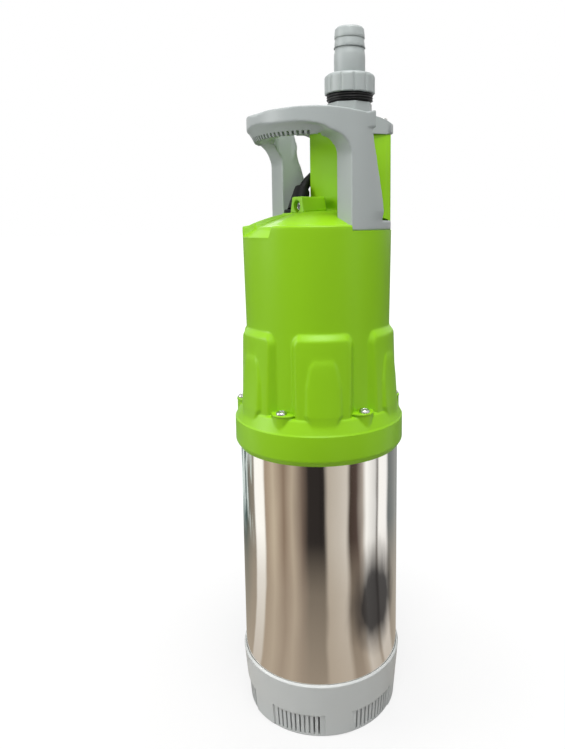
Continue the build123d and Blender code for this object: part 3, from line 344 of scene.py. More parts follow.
class Recipe(Nodes):
    """One material: nodes are added by type, and the shader's own sockets are set last."""

    sockets = {
        "colour": "Base Color", "roughness": "Roughness", "metal": "Metallic", "normal": "Normal",
        "specular": "Specular IOR Level",
    }

    def __init__(self, name):
        self.material = bpy.data.materials.new(name)
        self.material.use_nodes = True
        super().__init__(self.material.node_tree)
        self.tree.nodes.clear()
        self.shader = self.tree.nodes.new("ShaderNodeBsdfPrincipled")
        self.output = self.tree.nodes.new("ShaderNodeOutputMaterial")
        self.tree.links.new(self.shader.outputs[0], self.output.inputs["Surface"])

    def place(self):
        """The point on the piece, in metres."""
        return self.node("ShaderNodeTexCoord", output="Object")

    def noise(self, scale, detail=2.0, stretch=(1.0, 1.0, 1.0)):
        """Noise from 0 to 1, with a scale in features per metre."""
        spot = self.node("ShaderNodeMapping", {}, {"Vector": self.place(), "Scale": stretch})
        return self.node("ShaderNodeTexNoise", {}, {"Vector": spot, "Scale": scale, "Detail": detail})

    def span(self, value, source, target=(0.0, 1.0)):
        """A value carried from the source range to the target range, and held at its ends."""
        return self.node("ShaderNodeMapRange", {"clamp": True}, dict(enumerate((value, *source, *target))))

    def blend(self, amount, low, high):
        """A colour between two colours: sockets 6 and 7 and output 2 are the Mix node's colours."""
        return self.node("ShaderNodeMix", {"data_type": "RGBA"}, {0: amount, 6: low, 7: high}, 2)

    def tint(self, amount, colour, *gains):
        """A colour between two strengths of one colour."""
        return self.blend(amount, *[(*[min(1.0, c * gain) for c in colour], 1.0) for gain in gains])

    def ramp(self, amount, stops):
        """A colour by stops."""
        return self.node("ShaderNodeValToRGB", {"stops": stops}, {0: amount})

    def bump(self, height, strength, distance, under=None):
        """A normal tilted by a height, over another normal where one is given."""
        values = {"Height": height, "Strength": strength, "Distance": distance}
        if under:
            values["Normal"] = under
        return self.node("ShaderNodeBump", {}, values)

    def glow(self, factor, colour, rest=None):
        """Blends the shader, or another one, with a glow of the given colour."""
        light = self.node("ShaderNodeEmission", {}, {"Color": colour})
        base = rest or Signal(self, self.shader.outputs[0])
        mix = self.node("ShaderNodeMixShader", {}, {0: factor, 1: base, 2: light})
        self.feed(self.output.inputs["Surface"], mix)

    def finish(self, **values):
        """Feeds the shader's sockets by their short names and returns the material."""
        for key, value in values.items():
            self.feed(self.shader.inputs[self.sockets[key]], value)
        return self.material


def moulded_plastic(name, colour, roughness, edge=0.7 * MM, shine=0.5):
    """Injection moulding: a fine spark grain, faint flow mottle and softened edges."""
    r = Recipe(name)
    flow = r.noise(14.0, 3.0, (1.0, 1.0, 0.35))
    tint = r.tint(flow, colour, 0.94, 1.06)
    grain = r.noise(1700.0, 1.0) + 0.4 * r.noise(900.0, 2.0)
    soft = r.node("ShaderNodeBevel", {"samples": 4}, {"Radius": edge})
    normal = r.bump(grain, 0.35, 0.04 * MM, soft)
    return r.finish(colour=tint, roughness=roughness - 0.05 + 0.1 * flow, specular=shine, normal=normal)


def black_rubber(name, colour, roughness=0.55):
    """Soft rubber: dull, with faint dust and a fine skin."""
    r = Recipe(name)
    dust = r.noise(60.0, 4.0)
    tint = r.tint(dust, colour, 0.7, 1.6)
    normal = r.bump(r.noise(1200.0, 2.0), 0.25, 0.05 * MM)
    return r.finish(colour=tint, roughness=roughness + 0.2 * dust - 0.1, specular=0.13, normal=normal)


def plain_metal(name, colour, roughness):
    """Plated or ground metal with fine handling marks."""
    r = Recipe(name)
    marks = r.noise(400.0, 3.0)
    tint = r.tint(marks, colour, 0.9, 1.06)
    normal = r.bump(marks, 0.15, 0.03 * MM)
    return r.finish(colour=tint, roughness=roughness - 0.06 + 0.12 * marks, metal=1.0, normal=normal)


def polished_tube(name, colour):
    """Mirror polished sheet: long fine polishing lines round the tube and a slightly wavy skin."""
    r = Recipe(name)
    smear = r.noise(35.0, 4.0, (1.0, 1.0, 0.3))
    tint = r.tint(smear, colour, 0.93, 1.04)
    wavy = r.bump(r.noise(9.0, 2.0, (1.0, 1.0, 0.18)), 0.5, 1.2 * MM)
    normal = r.bump(r.noise(260.0, 2.0, (1.0, 1.0, 0.02)), 0.12, 0.05 * MM, wavy)
    return r.finish(colour=tint, roughness=0.05 + 0.07 * smear, metal=1.0, normal=normal)


def cast_part(name, colour, roughness=0.6, metal=0.0):
    """Inner castings and mouldings: even, with a coarse skin."""
    r = Recipe(name)
    skin = r.noise(500.0, 3.0)
    tint = r.tint(skin, colour, 0.85, 1.12)
    return r.finish(colour=tint, roughness=roughness, metal=metal, normal=r.bump(skin, 0.3, 0.1 * MM))


FINISHES = {}


def finish_named(slot):
    """The finish of a record slot, made once."""
    colours = bpy.context.scene.pump_colours
    makers = {
        "grey_plastic": (moulded_plastic, "grey moulding", colours.grey, 0.42),
        # painted light: the base's copy of the grey moulding, made paler for the light that falls on it
        "grey_plastic_painted_paler": (moulded_plastic, "foot moulding", colours.foot, 0.42),
        "green_plastic": (moulded_plastic, "green moulding", colours.green, 0.38, 1.0 * MM, 0.3),
        "polished_steel": (polished_tube, "polished steel", colours.steel),
        "screw_steel": (plain_metal, "zinc plated steel", (0.50, 0.50, 0.49), 0.27),
        "shaft_steel": (plain_metal, "ground steel", (0.66, 0.66, 0.67), 0.22),
        "black_plastic": (moulded_plastic, "black moulding", colours.black, 0.4),
        "black_rubber": (black_rubber, "black rubber", colours.black),
        "cable_rubber": (black_rubber, "cable rubber", colours.black, 0.48),
        "tie_plastic": (moulded_plastic, "tie", (0.75, 0.75, 0.74), 0.45),
        "stage_plastic": (cast_part, "stage moulding", (0.05, 0.05, 0.055)),
        "bracket_aluminium": (cast_part, "cast aluminium", (0.55, 0.55, 0.56), 0.45, 1.0),
        "core_steel": (cast_part, "core sheets", (0.12, 0.12, 0.13), 0.5, 1.0),
        "copper": (cast_part, "copper winding", (0.55, 0.22, 0.1), 0.35, 1.0),
        "seal_carbon": (cast_part, "carbon", (0.04, 0.04, 0.04), 0.3),
        "capacitor_case": (moulded_plastic, "capacitor case", (0.8, 0.8, 0.78), 0.35),
    }
    if slot not in FINISHES:
        maker, *values = makers[slot]
        FINISHES[slot] = maker(*values)
    return FINISHES[slot]


# Add-on settings


class PumpSizes(bpy.types.PropertyGroup):
    """Sizes that the frame doesn't hold, in metres."""

    shell_columns: IntProperty(name="Shell columns", description="Points round the green shell", default=500)
    turned_columns: IntProperty(name="Turned columns", description="Points round a turned piece", default=192)
    grip_voxel: FloatProperty(
        name="Handle voxel", description="Cell of the handle's skin", default=0.8 * MM, unit="LENGTH")
    thread_pitch: FloatProperty(
        name="Thread pitch", description="Pitch of the union thread", default=2.3 * MM, unit="LENGTH")
    camera_distance: FloatProperty(
        name="Camera distance", description="From the pump's axis", default=0.603, unit="LENGTH")
    camera_height: FloatProperty(
        name="Camera height", description="Above the floor", default=0.462, unit="LENGTH")


class PumpColours(bpy.types.PropertyGroup):
    """The colours of the visible materials."""

    grey: FloatVectorProperty(
        name="Grey moulding", description="Handle and outlet", subtype="COLOR", default=(0.375, 0.408, 0.402))
    # Painted light: a paler copy of the grey moulding, standing in for the brighter light on the base
    foot: FloatVectorProperty(
        name="Foot", description="Base strainer, the grey painted paler for the light on it", subtype="COLOR", default=(0.60, 0.62, 0.61))
    green: FloatVectorProperty(
        name="Green moulding", description="Upper shell", subtype="COLOR", default=(0.262, 0.56, 0.006))
    steel: FloatVectorProperty(
        name="Steel", description="Outer tube", subtype="COLOR", default=(0.80, 0.775, 0.74))
    black: FloatVectorProperty(
        name="Black", description="Cable, washer and adapter", subtype="COLOR",
        default=(0.0035, 0.0035, 0.0038))


# Camera


class PUMP_OT_camera(bpy.types.Operator):
    """Sets the camera at the photograph's angle."""

    bl_idname = "pump.camera"
    bl_label = "Camera"

    pitch = 8.0
    roll = -0.62
    focal_px = 650.0
    sensor_mm = 36.0
    shift = (-0.0471, -0.0796)
    clip = (0.02, 60.0)

    def execute(self, context):
        sizes = context.scene.pump_sizes
        a, p = math.radians(CAMERA_AZIMUTH), math.radians(self.pitch)
        out = Vector((math.sin(a), -math.cos(a), 0.0))
        data = bpy.data.cameras.new("camera")
        camera = add_object("camera", data)
        camera.location = out * sizes.camera_distance + Vector((0.0, 0.0, sizes.camera_height))
        look = Vector((0.0, 0.0, -math.sin(p))) - out * math.cos(p)
        camera.rotation_mode = "QUATERNION"
        turn = Quaternion((0, 0, 1), math.radians(self.roll))
        camera.rotation_quaternion = look.to_track_quat("-Z", "Y") @ turn
        data.sensor_width = self.sensor_mm
        data.lens = self.focal_px / IMAGE_HEIGHT * self.sensor_mm
        data.shift_x, data.shift_y = self.shift
        data.clip_start, data.clip_end = self.clip
        context.scene.camera = camera
        return {"FINISHED"}


# Cord

CABLE_START = [(-31.0, 4.0, 493.0), (-38.0, 17.0, 508.0), (-44.0, 42.0, 513.0)]
CABLE_FALL = [
    (-48.0, 66.0, 502.0), (-49.0, 81.0, 475.0), (-49.0, 88.0, 430.0), (-46.0, 92.5, 350.0),
    (-45.0, 100.0, 265.0), (-42.5, 108.0, 180.0),
]
CABLE_END = [
    (103.1, 17.4, 110.0), (100.6, 21.4, 62.0), (93.1, 32.4, 24.0), (77.6, 50.4, 5.6), (57.6, 65.9, 4.75),
]
CABLE_D = 9.5


class PUMP_OT_cord(bpy.types.Operator):
    """The power cable: out of its protector, down behind the pump, and round its coil to the plug."""

    bl_idname = "pump.cord"
    bl_label = "Cord"

    columns = 4
    layers = 5
    turn_points = 16
    step_from = 0.6
    lead = math.radians(12)
    mean_r = 72.4
    lift = 1.0
    tail_points = 7
    tail_angles = (math.radians(20), math.radians(118))
    tail_r = 84.0
    tail_drift = 24.0
    tail_rise = (0.2, 0.8)
    tail_gap = 0.3
    plug_r = 17.5
    plug_gap = 1.2

    def cell(self, turn):
        """Layers and columns of turns: the columns are filled outside in, then inside out."""
        layer, place = np.divmod(turn, self.columns)
        return layer, np.where(layer % 2 == 0, place, self.columns - 1 - place)

    def coil(self):
        """Angles, radii and heights of the coil, where each turn moves to the next one's cell at its end.

        The radii are swollen, because the curve passes inside its points.
        """
        turns = self.columns * self.layers
        turn, step = np.divmod(np.arange(turns * self.turn_points), self.turn_points)
        share = step / self.turn_points
        layer, column = self.cell(turn)
        next_layer, next_column = self.cell(np.minimum(turn + 1, turns - 1))
        late = eased(share, self.step_from, 1.0)
        outer = self.mean_r + (self.columns - 1) / 2 * CABLE_D
        swell = 1.0 / (0.75 + 0.25 * math.cos(TAU / self.turn_points))
        r = swell * (outer - CABLE_D * (column + (next_column - column) * late))
        z = self.lift + CABLE_D * (0.5 + layer + (next_layer - layer) * late)
        first = math.atan2(CABLE_END[-1][1], CABLE_END[-1][0]) + self.lead
        return first + TAU * share, r, z

    def tail(self, top):
        """Angles, radii and heights of the cord's end on the coil, drifting inwards and up to the plug."""
        share = np.linspace(0.0, 1.0, self.tail_points)
        start, end = self.tail_angles
        low, high = top + CABLE_D / 2 + self.tail_gap, top + self.plug_r + self.plug_gap
        z = low + (high - low) * eased(share, *self.tail_rise)
        return start + (end - start) * share, self.tail_r - self.tail_drift * share ** 2, z

    def execute(self, context):
        low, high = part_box("cable_coil")
        centre = np.array([(low.x + high.x) / 2, (low.y + high.y) / 2, 0.0]) / MM
        points = [*CABLE_START, *CABLE_FALL, *(np.array(CABLE_END) + centre)]
        for angle, r, z in (self.coil(), self.tail(high.z / MM)):
            points.extend(centre + np.stack([r * np.cos(angle), r * np.sin(angle), z], -1))
        curve = bpy.data.curves.new("power_cord", "CURVE")
        curve.dimensions = "3D"
        curve.bevel_depth = CABLE_D / 2 * MM
        curve.bevel_resolution = 3
        curve.resolution_u = 5
        curve.use_fill_caps = True
        spline = curve.splines.new("NURBS")
        spline.points.add(len(points) - 1)
        for point, place in zip(spline.points, points):
            point.co = (*[c * MM for c in place], 1.0)
        spline.order_u = 3
        spline.use_endpoint_u = True
        cord = add_object("power_cord", curve)
        dress(cord, "root", "cable_rubber", ["power_cable", "cable_coil", "cable_tail"])
        return {"FINISHED"}


# Pieces with a computed surface


class PUMP_OT_tube(bpy.types.Operator):
    """The polished outer tube: a turned sheet with rolled edges."""

    bl_idname = "pump.tube"
    bl_label = "Outer tube"

    wall = 1.0
    edge = 0.4
    rows = 40
    columns = 360

    def execute(self, context):
        low, high, r = low_of("outer_tube"), top_of("outer_tube"), radius_of("outer_tube")
        inner, e = r - self.wall, self.edge
        heights = np.linspace(low + e, high - e, self.rows)
        outline = [(inner, low + e), (inner + e, low), (r - e, low)]
        outline += [(r, z) for z in heights]
        outline += [(r - e, high), (inner + e, high)]
        outline += [(inner, z) for z in heights[::-1]]
        tube = grid_object("tube_skin", turned_points(outline, self.columns))
        dress(tube, "root", "polished_steel", ["outer_tube"])
        return {"FINISHED"}


class PUMP_OT_shell(bpy.types.Operator):
    """The green shell in two surfaces: its wall, and its top with the dome, the riser and the clamp block.

    The wall's radius is a function of angle and height: a turned body, raised by panels, buttresses and
    bosses. The top is a height over the plane: a dome, lowered in the scoop and under the handle's collar,
    and level at the gland's seat.
    """

    bl_idname = "pump.shell"
    bl_label = "Upper shell"

    split_z = 440.0
    foot = ((74.6, 262.0), (74.6, 257.6), (75.7, 257.6), (79.0, 262.6), (79.0, 284.4), (78.0, 285.4))
    foot_rounds = (0.3, 0.8, 4.0, 0.5)
    wall_rows = (
        (285.4, 295.0, 17), (295.4, 298.9, 16), (299.0, 300.0, 3), (300.2, 300.35, 2), (300.5, 300.53, 2),
        (301.3, 345.0, 58), (345.6, 349.0, 8), (350.0, 361.0, 12), (361.8, 373.0, 26), (376.0, split_z, 22),
    )
    shoulder = (
        (285.4, 78.0), (295.4, 74.0), (296.5, 73.3), (297.2, 72.2), (297.9, 69.6), (298.3, 67.6),
        (299.2, 66.7), (301.0, 66.5),
    )
    panel_top_z = 369.9
    panel_root_r = 66.5
    panel_arc_r = 70.0
    panel_half = 28.5
    panel_side_slope = 1.35
    panel_rise = 0.78
    panel_corner = 12.0
    panel_face = ((285.4, 73.0), (313.0, 72.3), (364.7, 70.7), (371.0, 70.6))
    flare_above = ((panel_top_z, 0.0), (panel_top_z + 87.0, 1.5))
    buttress_root_r = 71.2
    buttress_arc_r = 73.0
    buttress_top_z = 348.0
    buttress_top_slope = 0.45
    buttress_run = 0.62
    buttress_corner = 4.0
    buttress_half = ((288.0, 11.0), (301.0, 17.0), (325.0, 16.0), (346.0, 11.5))
    buttress_face = ((300.0, 75.6), (346.0, 72.3))
    boss_top_z = 300.5
    boss_reach = 76.8
    boss_lean = ((284.4, 4.5), (299.0, 11.0))
    boss_half = ((284.4, 4.5), (298.9, 11.0), (299.0, 11.5), (300.0, 11.5), (300.3, 11.3), (300.5, 10.9))
    panel_soft, panel_meets = 0.8, 0.6
    buttress_soft, buttress_meets = 1.8, 1.1
    boss_meets = 0.5

    dome_z = 473.6
    dome_drop = 12.5
    dome_r = 62.0
    dome_power = 2.2
    skirt_slope = 0.178
    rim_z = 460.3
    rim_edge = 1.5
    rim_r = 68.0
    neck_rows = 10
    dome_rows = (
        (67.93, 67.7, 2), (67.3, 66.5, 3), (65.8, 61.2, 7), (61.0, 60.9, 2), (60.3, 45.0, 22),
        (44.3, 11.0, 46), (10.0, 1.0, 7),
    )
    scoop_half = 21.0
    scoop_side = (1.9, -1.5)
    scoop_fine = (-3.0, 3.0, 13)
    scoop_floor = ((20.0, 472.5), (54.0, 460.0), (56.4, 459.4), (57.6, 456.9), (68.0, 450.5))
    collar_from = 82.35
    collar_fine = (-0.1, 0.1, 2)
    collar_z = 455.85
    collar_r = 60.95
    gland = (-28.0, -3.0)
    gland_seat_r = 15.0
    gland_seat_side = 0.5
    gland_seat_z = 472.0

    riser_x = 30.0
    riser_y = (11.0, 61.0)
    riser_corner = 4.0
    riser_step = 1.2
    riser_limit_r = 67.5
    riser_foot = (-0.6, 0.0, 0.12, 0.28, 0.5, 0.75, 1.0)
    fillet = 3.0
    fillet_limit_r = 60.0
    foot_sink = 4.0
    riser_rear_z = 458.6
    riser_top_z = 540.6
    riser_front = ((12.0, 5.9), (28.0, 0.0))
    riser_edge = ((0.0, 40.0), (0.0, 0.6), (0.15, 0.2), (0.5, 0.0))
    flare_z = 463.8
    flare_spread = ((30.0, 0.0), (50.0, 8.5))

    block_columns = 120
    block_front_y = -21.4
    block_rear_y = 3.0
    block_low_z = 456.0
    block_top_z = 486.0
    block_half = 9.757
    block_side = (0.9688, 0.2476)
    block_power = 22
    block_hole_r = 5.4
    block_hole_z = 477.5
    block_hole_depth = 5.0

    def turns(self, columns):
        """Angles of the columns, closer together at the sides of the scoop and of the collar's seat."""
        angles = [even_turns(columns)]
        for edge, fine in ((self.scoop_half, self.scoop_fine), (self.collar_from, self.collar_fine)):
            angles += [side * edge + np.linspace(*fine) for side in (1, -1)]
        return np.unique(np.round(np.concatenate(angles) % 360.0, 3))

    def boss(self, turn, z):
        """Radius of the leaning half cones under the flange screws, and of their round seats.

        A boss is a circle at each height, and the ray at the angle leaves it at the centre's reach along
        the ray plus the root of the circle's radius squared less the centre's offset squared.
        """
        away = np.radians(wrapped(turn, 6, 30))
        centre = self.boss_reach - course(z, self.boss_lean)
        inside = course(z, self.boss_half) ** 2 - (centre * np.sin(away)) ** 2
        reach = centre * np.cos(away) + np.sqrt(np.maximum(inside, 0.0))
        return np.where((inside > 0) & (z < self.boss_top_z + 0.01), reach, 0.0)

    def wall_radius(self, turn, z):
        """Outer radius of the wall: the largest of the body, the panels, the buttresses and the bosses.

        A panel is the smaller of its face and of a slope that rises from its sides and its top, and a
        buttress is the same with its own slopes.
        """
        away = np.radians(np.abs(wrapped(turn, 6)))
        body = course(z, self.shoulder) + course(z, self.flare_above)
        side = (self.panel_half - away * self.panel_arc_r) * self.panel_side_slope
        rise = corner_min(side, self.panel_top_z - z, self.panel_corner) * self.panel_rise
        panel = soft_min(course(z, self.panel_face), self.panel_root_r + rise, self.panel_soft)
        side = course(z, self.buttress_half) - self.buttress_arc_r * np.sin(away)
        above = (self.buttress_top_z - z) * self.buttress_top_slope
        rise = corner_min(side, above, self.buttress_corner) / self.buttress_run
        buttress = soft_min(course(z, self.buttress_face), self.buttress_root_r + rise, self.buttress_soft)
        wall = soft_max(soft_max(body, panel, self.panel_meets), buttress, self.buttress_meets)
        return soft_max(wall, self.boss(turn, z), self.boss_meets)

    def top_height(self, r, turn):
        """Height of the top's surface at a radius and an angle.

        The dome falls by a power of the radius, a skirt slopes on from it, and the rim is a quarter circle.
        The scoop takes away what stands over its floor. The gland's seat and the collar's are level.
        """
        dome = self.dome_z - self.dome_drop * (np.minimum(r, self.dome_r) / self.dome_r) ** self.dome_power
        skirt = self.dome_z - self.dome_drop - (r - self.dome_r) * self.skirt_slope
        rim_from = self.rim_r - self.rim_edge
        fall = np.sqrt(np.maximum(self.rim_edge ** 2 - np.maximum(r - rim_from, 0) ** 2, 0))
        rim = self.rim_z - self.rim_edge + fall
        z = np.where(r < self.dome_r, dome, np.where(r < rim_from, skirt, rim))
        away = np.abs(wrapped(turn, 1))
        scoop = eased(away, *[self.scoop_half + side for side in self.scoop_side])
        z = z - scoop * np.maximum(z - course(r, self.scoop_floor), 0)
        x, y = r * np.sin(np.radians(turn)), -r * np.cos(np.radians(turn))
        distance = np.hypot(x - self.gland[0], y - self.gland[1])
        side = self.gland_seat_side
        seat = eased(distance, self.gland_seat_r + side, self.gland_seat_r - side)
        z = z + seat * (self.gland_seat_z - z)
        return np.where((away > self.collar_from) & (r > self.collar_r), self.collar_z, z)

    def wall(self, columns):
        """The flange's turned foot, and the wall above it up to the split."""
        turn = even_turns(columns)
        z = runs(self.wall_rows)
        foot = sides(rounded(self.foot, self.foot_rounds)[:-1])
        radii, heights = stacked(columns, foot, (self.wall_radius(turn, z), z))
        return polar_points(radii, turn, heights)

    def dome(self, columns):
        """The wall from the split up to the rim, and the top from the rim inwards."""
        turn = self.turns(columns)
        edge_z = self.top_height(self.rim_r, turn)
        wall_z = self.split_z + np.linspace(0.0, 1.0, self.neck_rows)[:, None] * (edge_z - self.split_z)
        wall_r = self.wall_radius(turn, wall_z)
        wall_r[-1] = self.rim_r
        r = runs(self.dome_rows)
        radii, heights = stacked(len(turn), (wall_r, wall_z), (r, self.top_height(r, turn)))
        return grid_part(polar_points(radii, turn, heights), caps=(-1,))

    def surface_under(self, x, y):
        """Height of the top's surface under points of the plane, level where they pass the collar's seat."""
        r = np.hypot(x, y)
        turn = np.degrees(np.arctan2(x, -y)) % 360.0
        dome = self.top_height(np.minimum(r, self.fillet_limit_r), turn)
        return np.where(r > self.collar_r, self.riser_rear_z, dome)

    def held(self, x, y):
        """A line round the riser, drawn in where it passes the limit of the rim."""
        return np.stack([x, y]) * np.minimum(self.riser_limit_r / np.hypot(x, y), 1.0)

    def outwards(self, line):
        """The way out of a closed line at each point: its neighbours' difference, turned by a right angle."""
        step = np.roll(line, -1, 1) - np.roll(line, 1, 1)
        return np.stack([step[1], -step[0]]) / np.hypot(*step)

    def riser(self):
        """A rounded block that widens to the rear above the collar, and flows into the dome at its foot.

        The foot is a quarter circle: its rows stand out by one less the sine, and up by one less the cosine.
        """
        x, (front, rear) = self.riser_x, self.riser_y
        corners = [(0, front), (x, front), (x, rear), (-x, rear), (-x, front), (0, front)]
        box = rounded(corners, [self.riser_corner] * 4, 8)
        length = np.concatenate([[0], np.cumsum(np.hypot(*np.diff(box, axis=0).T))])
        places = np.unique(np.concatenate([length, np.arange(0, length[-1], self.riser_step)]))[:-1]
        px, py = [np.interp(places, length, box[:, axis]) for axis in (0, 1)]
        low = self.held(px, py)
        high = self.held(px * (1 + course(py, self.flare_spread) / x), py)
        floor = self.surface_under(*low)
        rows = []
        for share in self.riser_foot:
            bend = math.radians(90 * max(share, 0))
            out = np.where(np.hypot(*low) > self.fillet_limit_r, 0.0, self.fillet * (1 - math.sin(bend)))
            z = floor + self.fillet * (1 - math.cos(bend)) + min(share, 0) * self.foot_sink
            rows.append((*(low + self.outwards(low) * out), z))
        rows.append((*low, np.maximum(self.flare_z - 0.05, rows[-1][2] + 0.01)))
        rows.append((*high, np.maximum(self.flare_z, rows[-1][2] + 0.01)))
        top = self.riser_top_z + course(py, self.riser_front)
        for inset, drop in self.riser_edge:
            rows.append((*(high - self.outwards(high) * inset), top - drop))
        return grid_part(np.array([np.stack(row, -1) for row in rows]) * MM, caps=(-1,))

    def block(self):
        """The clamp block: rays from its screw's axis out to its tapered outline, drawn back to the riser.

        A plane's share of a ray is the cosine to its normal over its distance. One over the reach is the
        root of the shares' summed high powers, so that the planes meet in small rounds.
        """
        hole_r, hole_z = self.block_hole_r, self.block_hole_z
        front, rear = self.block_front_y, self.block_rear_y
        angle = np.radians(even_turns(self.block_columns))
        across, up = np.cos(angle), np.sin(angle)
        side_x, side_z = self.block_side
        normals = np.array([(0, -1), (0, 1), (side_x, side_z), (-side_x, side_z)])
        reaches = (hole_z - self.block_low_z, self.block_top_z - hole_z, self.block_half, self.block_half)
        shares = np.maximum(np.stack([across, up], -1) @ normals.T, 0) / reaches
        outline = (shares ** self.block_power).sum(axis=1) ** (-1 / self.block_power)
        rows = (
            (hole_r, front + self.block_hole_depth), (hole_r, front + 0.3), (hole_r + 0.3, front),
            (outline - 0.9, front), (outline - 0.3, front + 0.25), (outline, front + 0.9),
            (outline, rear), (outline - 0.8, rear + 1.0),
        )
        points = [np.stack(np.broadcast_arrays(across * r, y, hole_z + up * r), -1) for r, y in rows]
        return grid_part(np.array(points) * MM, caps=(0, -1))

    def execute(self, context):
        columns = context.scene.pump_sizes.shell_columns
        wall = grid_object("shell_wall", self.wall(columns))
        dress(wall, "root", "green_plastic", ["upper_shell"])
        top = joined("shell_top", [self.dome(columns), self.riser(), self.block()], 35.0)
        dress(top, "root", "green_plastic")
        return {"FINISHED"}


class PUMP_OT_handle(bpy.types.Operator):
    """The handle: its frame shape with every edge melted round, bent to the finer form, with finger notches.

    The top is crowned across, the grip's underside becomes a steep lip with a hollow behind it, the grip's
    front comes back a little, the legs' outer rear edges slant, and the cap's underside rises to the front.
    """

    bl_idname = "pump.handle"
    bl_label = "Handle"

    weld = 0.01 * MM
    rounds = 5
    crease = 50.0
    bow_y = 4.8
    lip = (
        (38.0, 538.0), (44.0, 537.5), (60.0, 534.2), (61.5, 534.2), (63.5, 538.2), (66.0, 542.0),
        (68.3, 544.2),
    )
    lip_limits = (-9.0, 5.0)
    lip_where = (("z", 553.0, 541.5), ("y", -24.0, -36.0))
    frame_under = ((-63.1497, 542.0), (-34.0029, 536.5))
    crown = -2.6
    crown_where = (("y", -40.0, 5.0), ("side", 30.0, 55.0), ("z", 538.0, 550.0))
    cap_rise = 3.5
    cap_rise_where = (("y", 5.0, 20.0), ("y", 58.0, 40.0), ("z", 545.0, 553.0))
    web_lift = ((514.0, 0.0), (535.0, 11.0), (557.0, 0.0))
    web_where = (("y", 11.0, 8.0),)
    cap_lift = 5.5
    cap_lift_where = (("z", 552.0, 542.0), ("z", 530.0, 536.0), ("y", 8.0, 11.0))
    lift_where = (("y", -13.0, -4.0), ("y", 31.0, 15.0), ("side", 56.0, 48.0))
    leg_shift = ((464.0, 0.0), (472.0, 2.3), (540.0, -4.1))
    leg_shift_where = (("y", 2.0, 18.0), ("side", 46.0, 60.0), ("z", 543.0, 539.0), ("z", 463.0, 466.0))
    leg_tuck = 6.0
    leg_tuck_where = (("z", 516.0, 538.0), ("side", 60.0, 52.0), ("y", 1.0, 13.0), ("z", 543.0, 539.0))
    front_back = 2.2
    front_where = (("y", -9.0, -44.0),)
    cap_side = (
        (46.0, 5.0), (70.0, 20.0), (70.0, 70.0), (39.2, 60.0), (39.2, 50.0), (34.0, 31.0), (36.0, 24.0),
        (40.0, 14.0),
    )
    cap_side_z = (539.0, 570.0)
    notches = 23
    notch_pitch = 4.15
    notch_width = 2.2
    notch_r = (56.5, 63.2)
    notch_z = (532.0, 537.6)

    def bent(self, points):
        """Points moved back and up, each time by a depth or a height times a weight.

        The lip's height is that of its own underside, by distance from the bow's centre, less the frame's.
        """
        x, y, z = points.T / MM
        place = {"side": np.abs(x), "y": y, "z": z}
        lower = course(np.hypot(x, y - self.bow_y), self.lip) - course(y, self.frame_under)
        up = np.clip(lower, *self.lip_limits) * weight(place, self.lip_where)
        up = up + self.crown * weight(place, self.crown_where)
        up = up + self.cap_rise * weight(place, self.cap_rise_where)
        lift = course(z, self.web_lift) * weight(place, self.web_where)
        lift = lift + self.cap_lift * weight(place, self.cap_lift_where)
        up = up + lift * weight(place, self.lift_where)
        back = course(z, self.leg_shift) * weight(place, self.leg_shift_where)
        back = back - self.leg_tuck * weight(place, self.leg_tuck_where)
        back = back + self.front_back * weight(place, self.front_where)
        return np.stack([x, y + back, z + up], -1) * MM

    def notch_cutter(self):
        """Small blocks along the bowed lip, and two prisms that clear the cap's sides behind the legs."""
        parts = [prism(np.array(self.cap_side)[::side] * (side, 1), self.cap_side_z) for side in (1, -1)]
        near, far = self.notch_r
        half = self.notch_width / 2
        for index in range(self.notches):
            turn = math.radians((index - (self.notches - 1) / 2) * self.notch_pitch)
            out = np.array([math.sin(turn), -math.cos(turn)])
            across = np.array([math.cos(turn), math.sin(turn)])
            places = ((-half, far), (half, far), (half, near), (-half, near))
            corners = np.array([across * s + out * r for s, r in places])
            parts.append(prism(corners + (0.0, self.bow_y + self.front_back), self.notch_z))
        return joined("notch_cutter", parts)

    def execute(self, context):
        voxel = context.scene.pump_sizes.grip_voxel
        raw = add_object("handle_raw", frame["nodes"]["handle"].data.copy())
        modify(raw, "WELD", merge_threshold=self.weld)
        modify(raw, "REMESH", mode="VOXEL", voxel_size=voxel, adaptivity=0.0)
        modify(raw, "SMOOTH", factor=0.5, iterations=self.rounds)
        made = evaluated_copy(raw, "handle_bent")
        points = np.empty(len(made.data.vertices) * 3)
        made.data.vertices.foreach_get("co", points)
        made.data.vertices.foreach_set("co", self.bent(points.reshape(-1, 3)).ravel())
        cutter = self.notch_cutter()
        modify(made, "BOOLEAN", operation="DIFFERENCE", solver="MANIFOLD", object=cutter)
        skinned = evaluated_copy(made, "handle_skin")
        for thing in (raw, made, cutter):
            bpy.data.objects.remove(thing)
        crisp(skinned.data, self.crease)
        dress(skinned, "root", "grey_plastic", ["handle"])
        return {"FINISHED"}


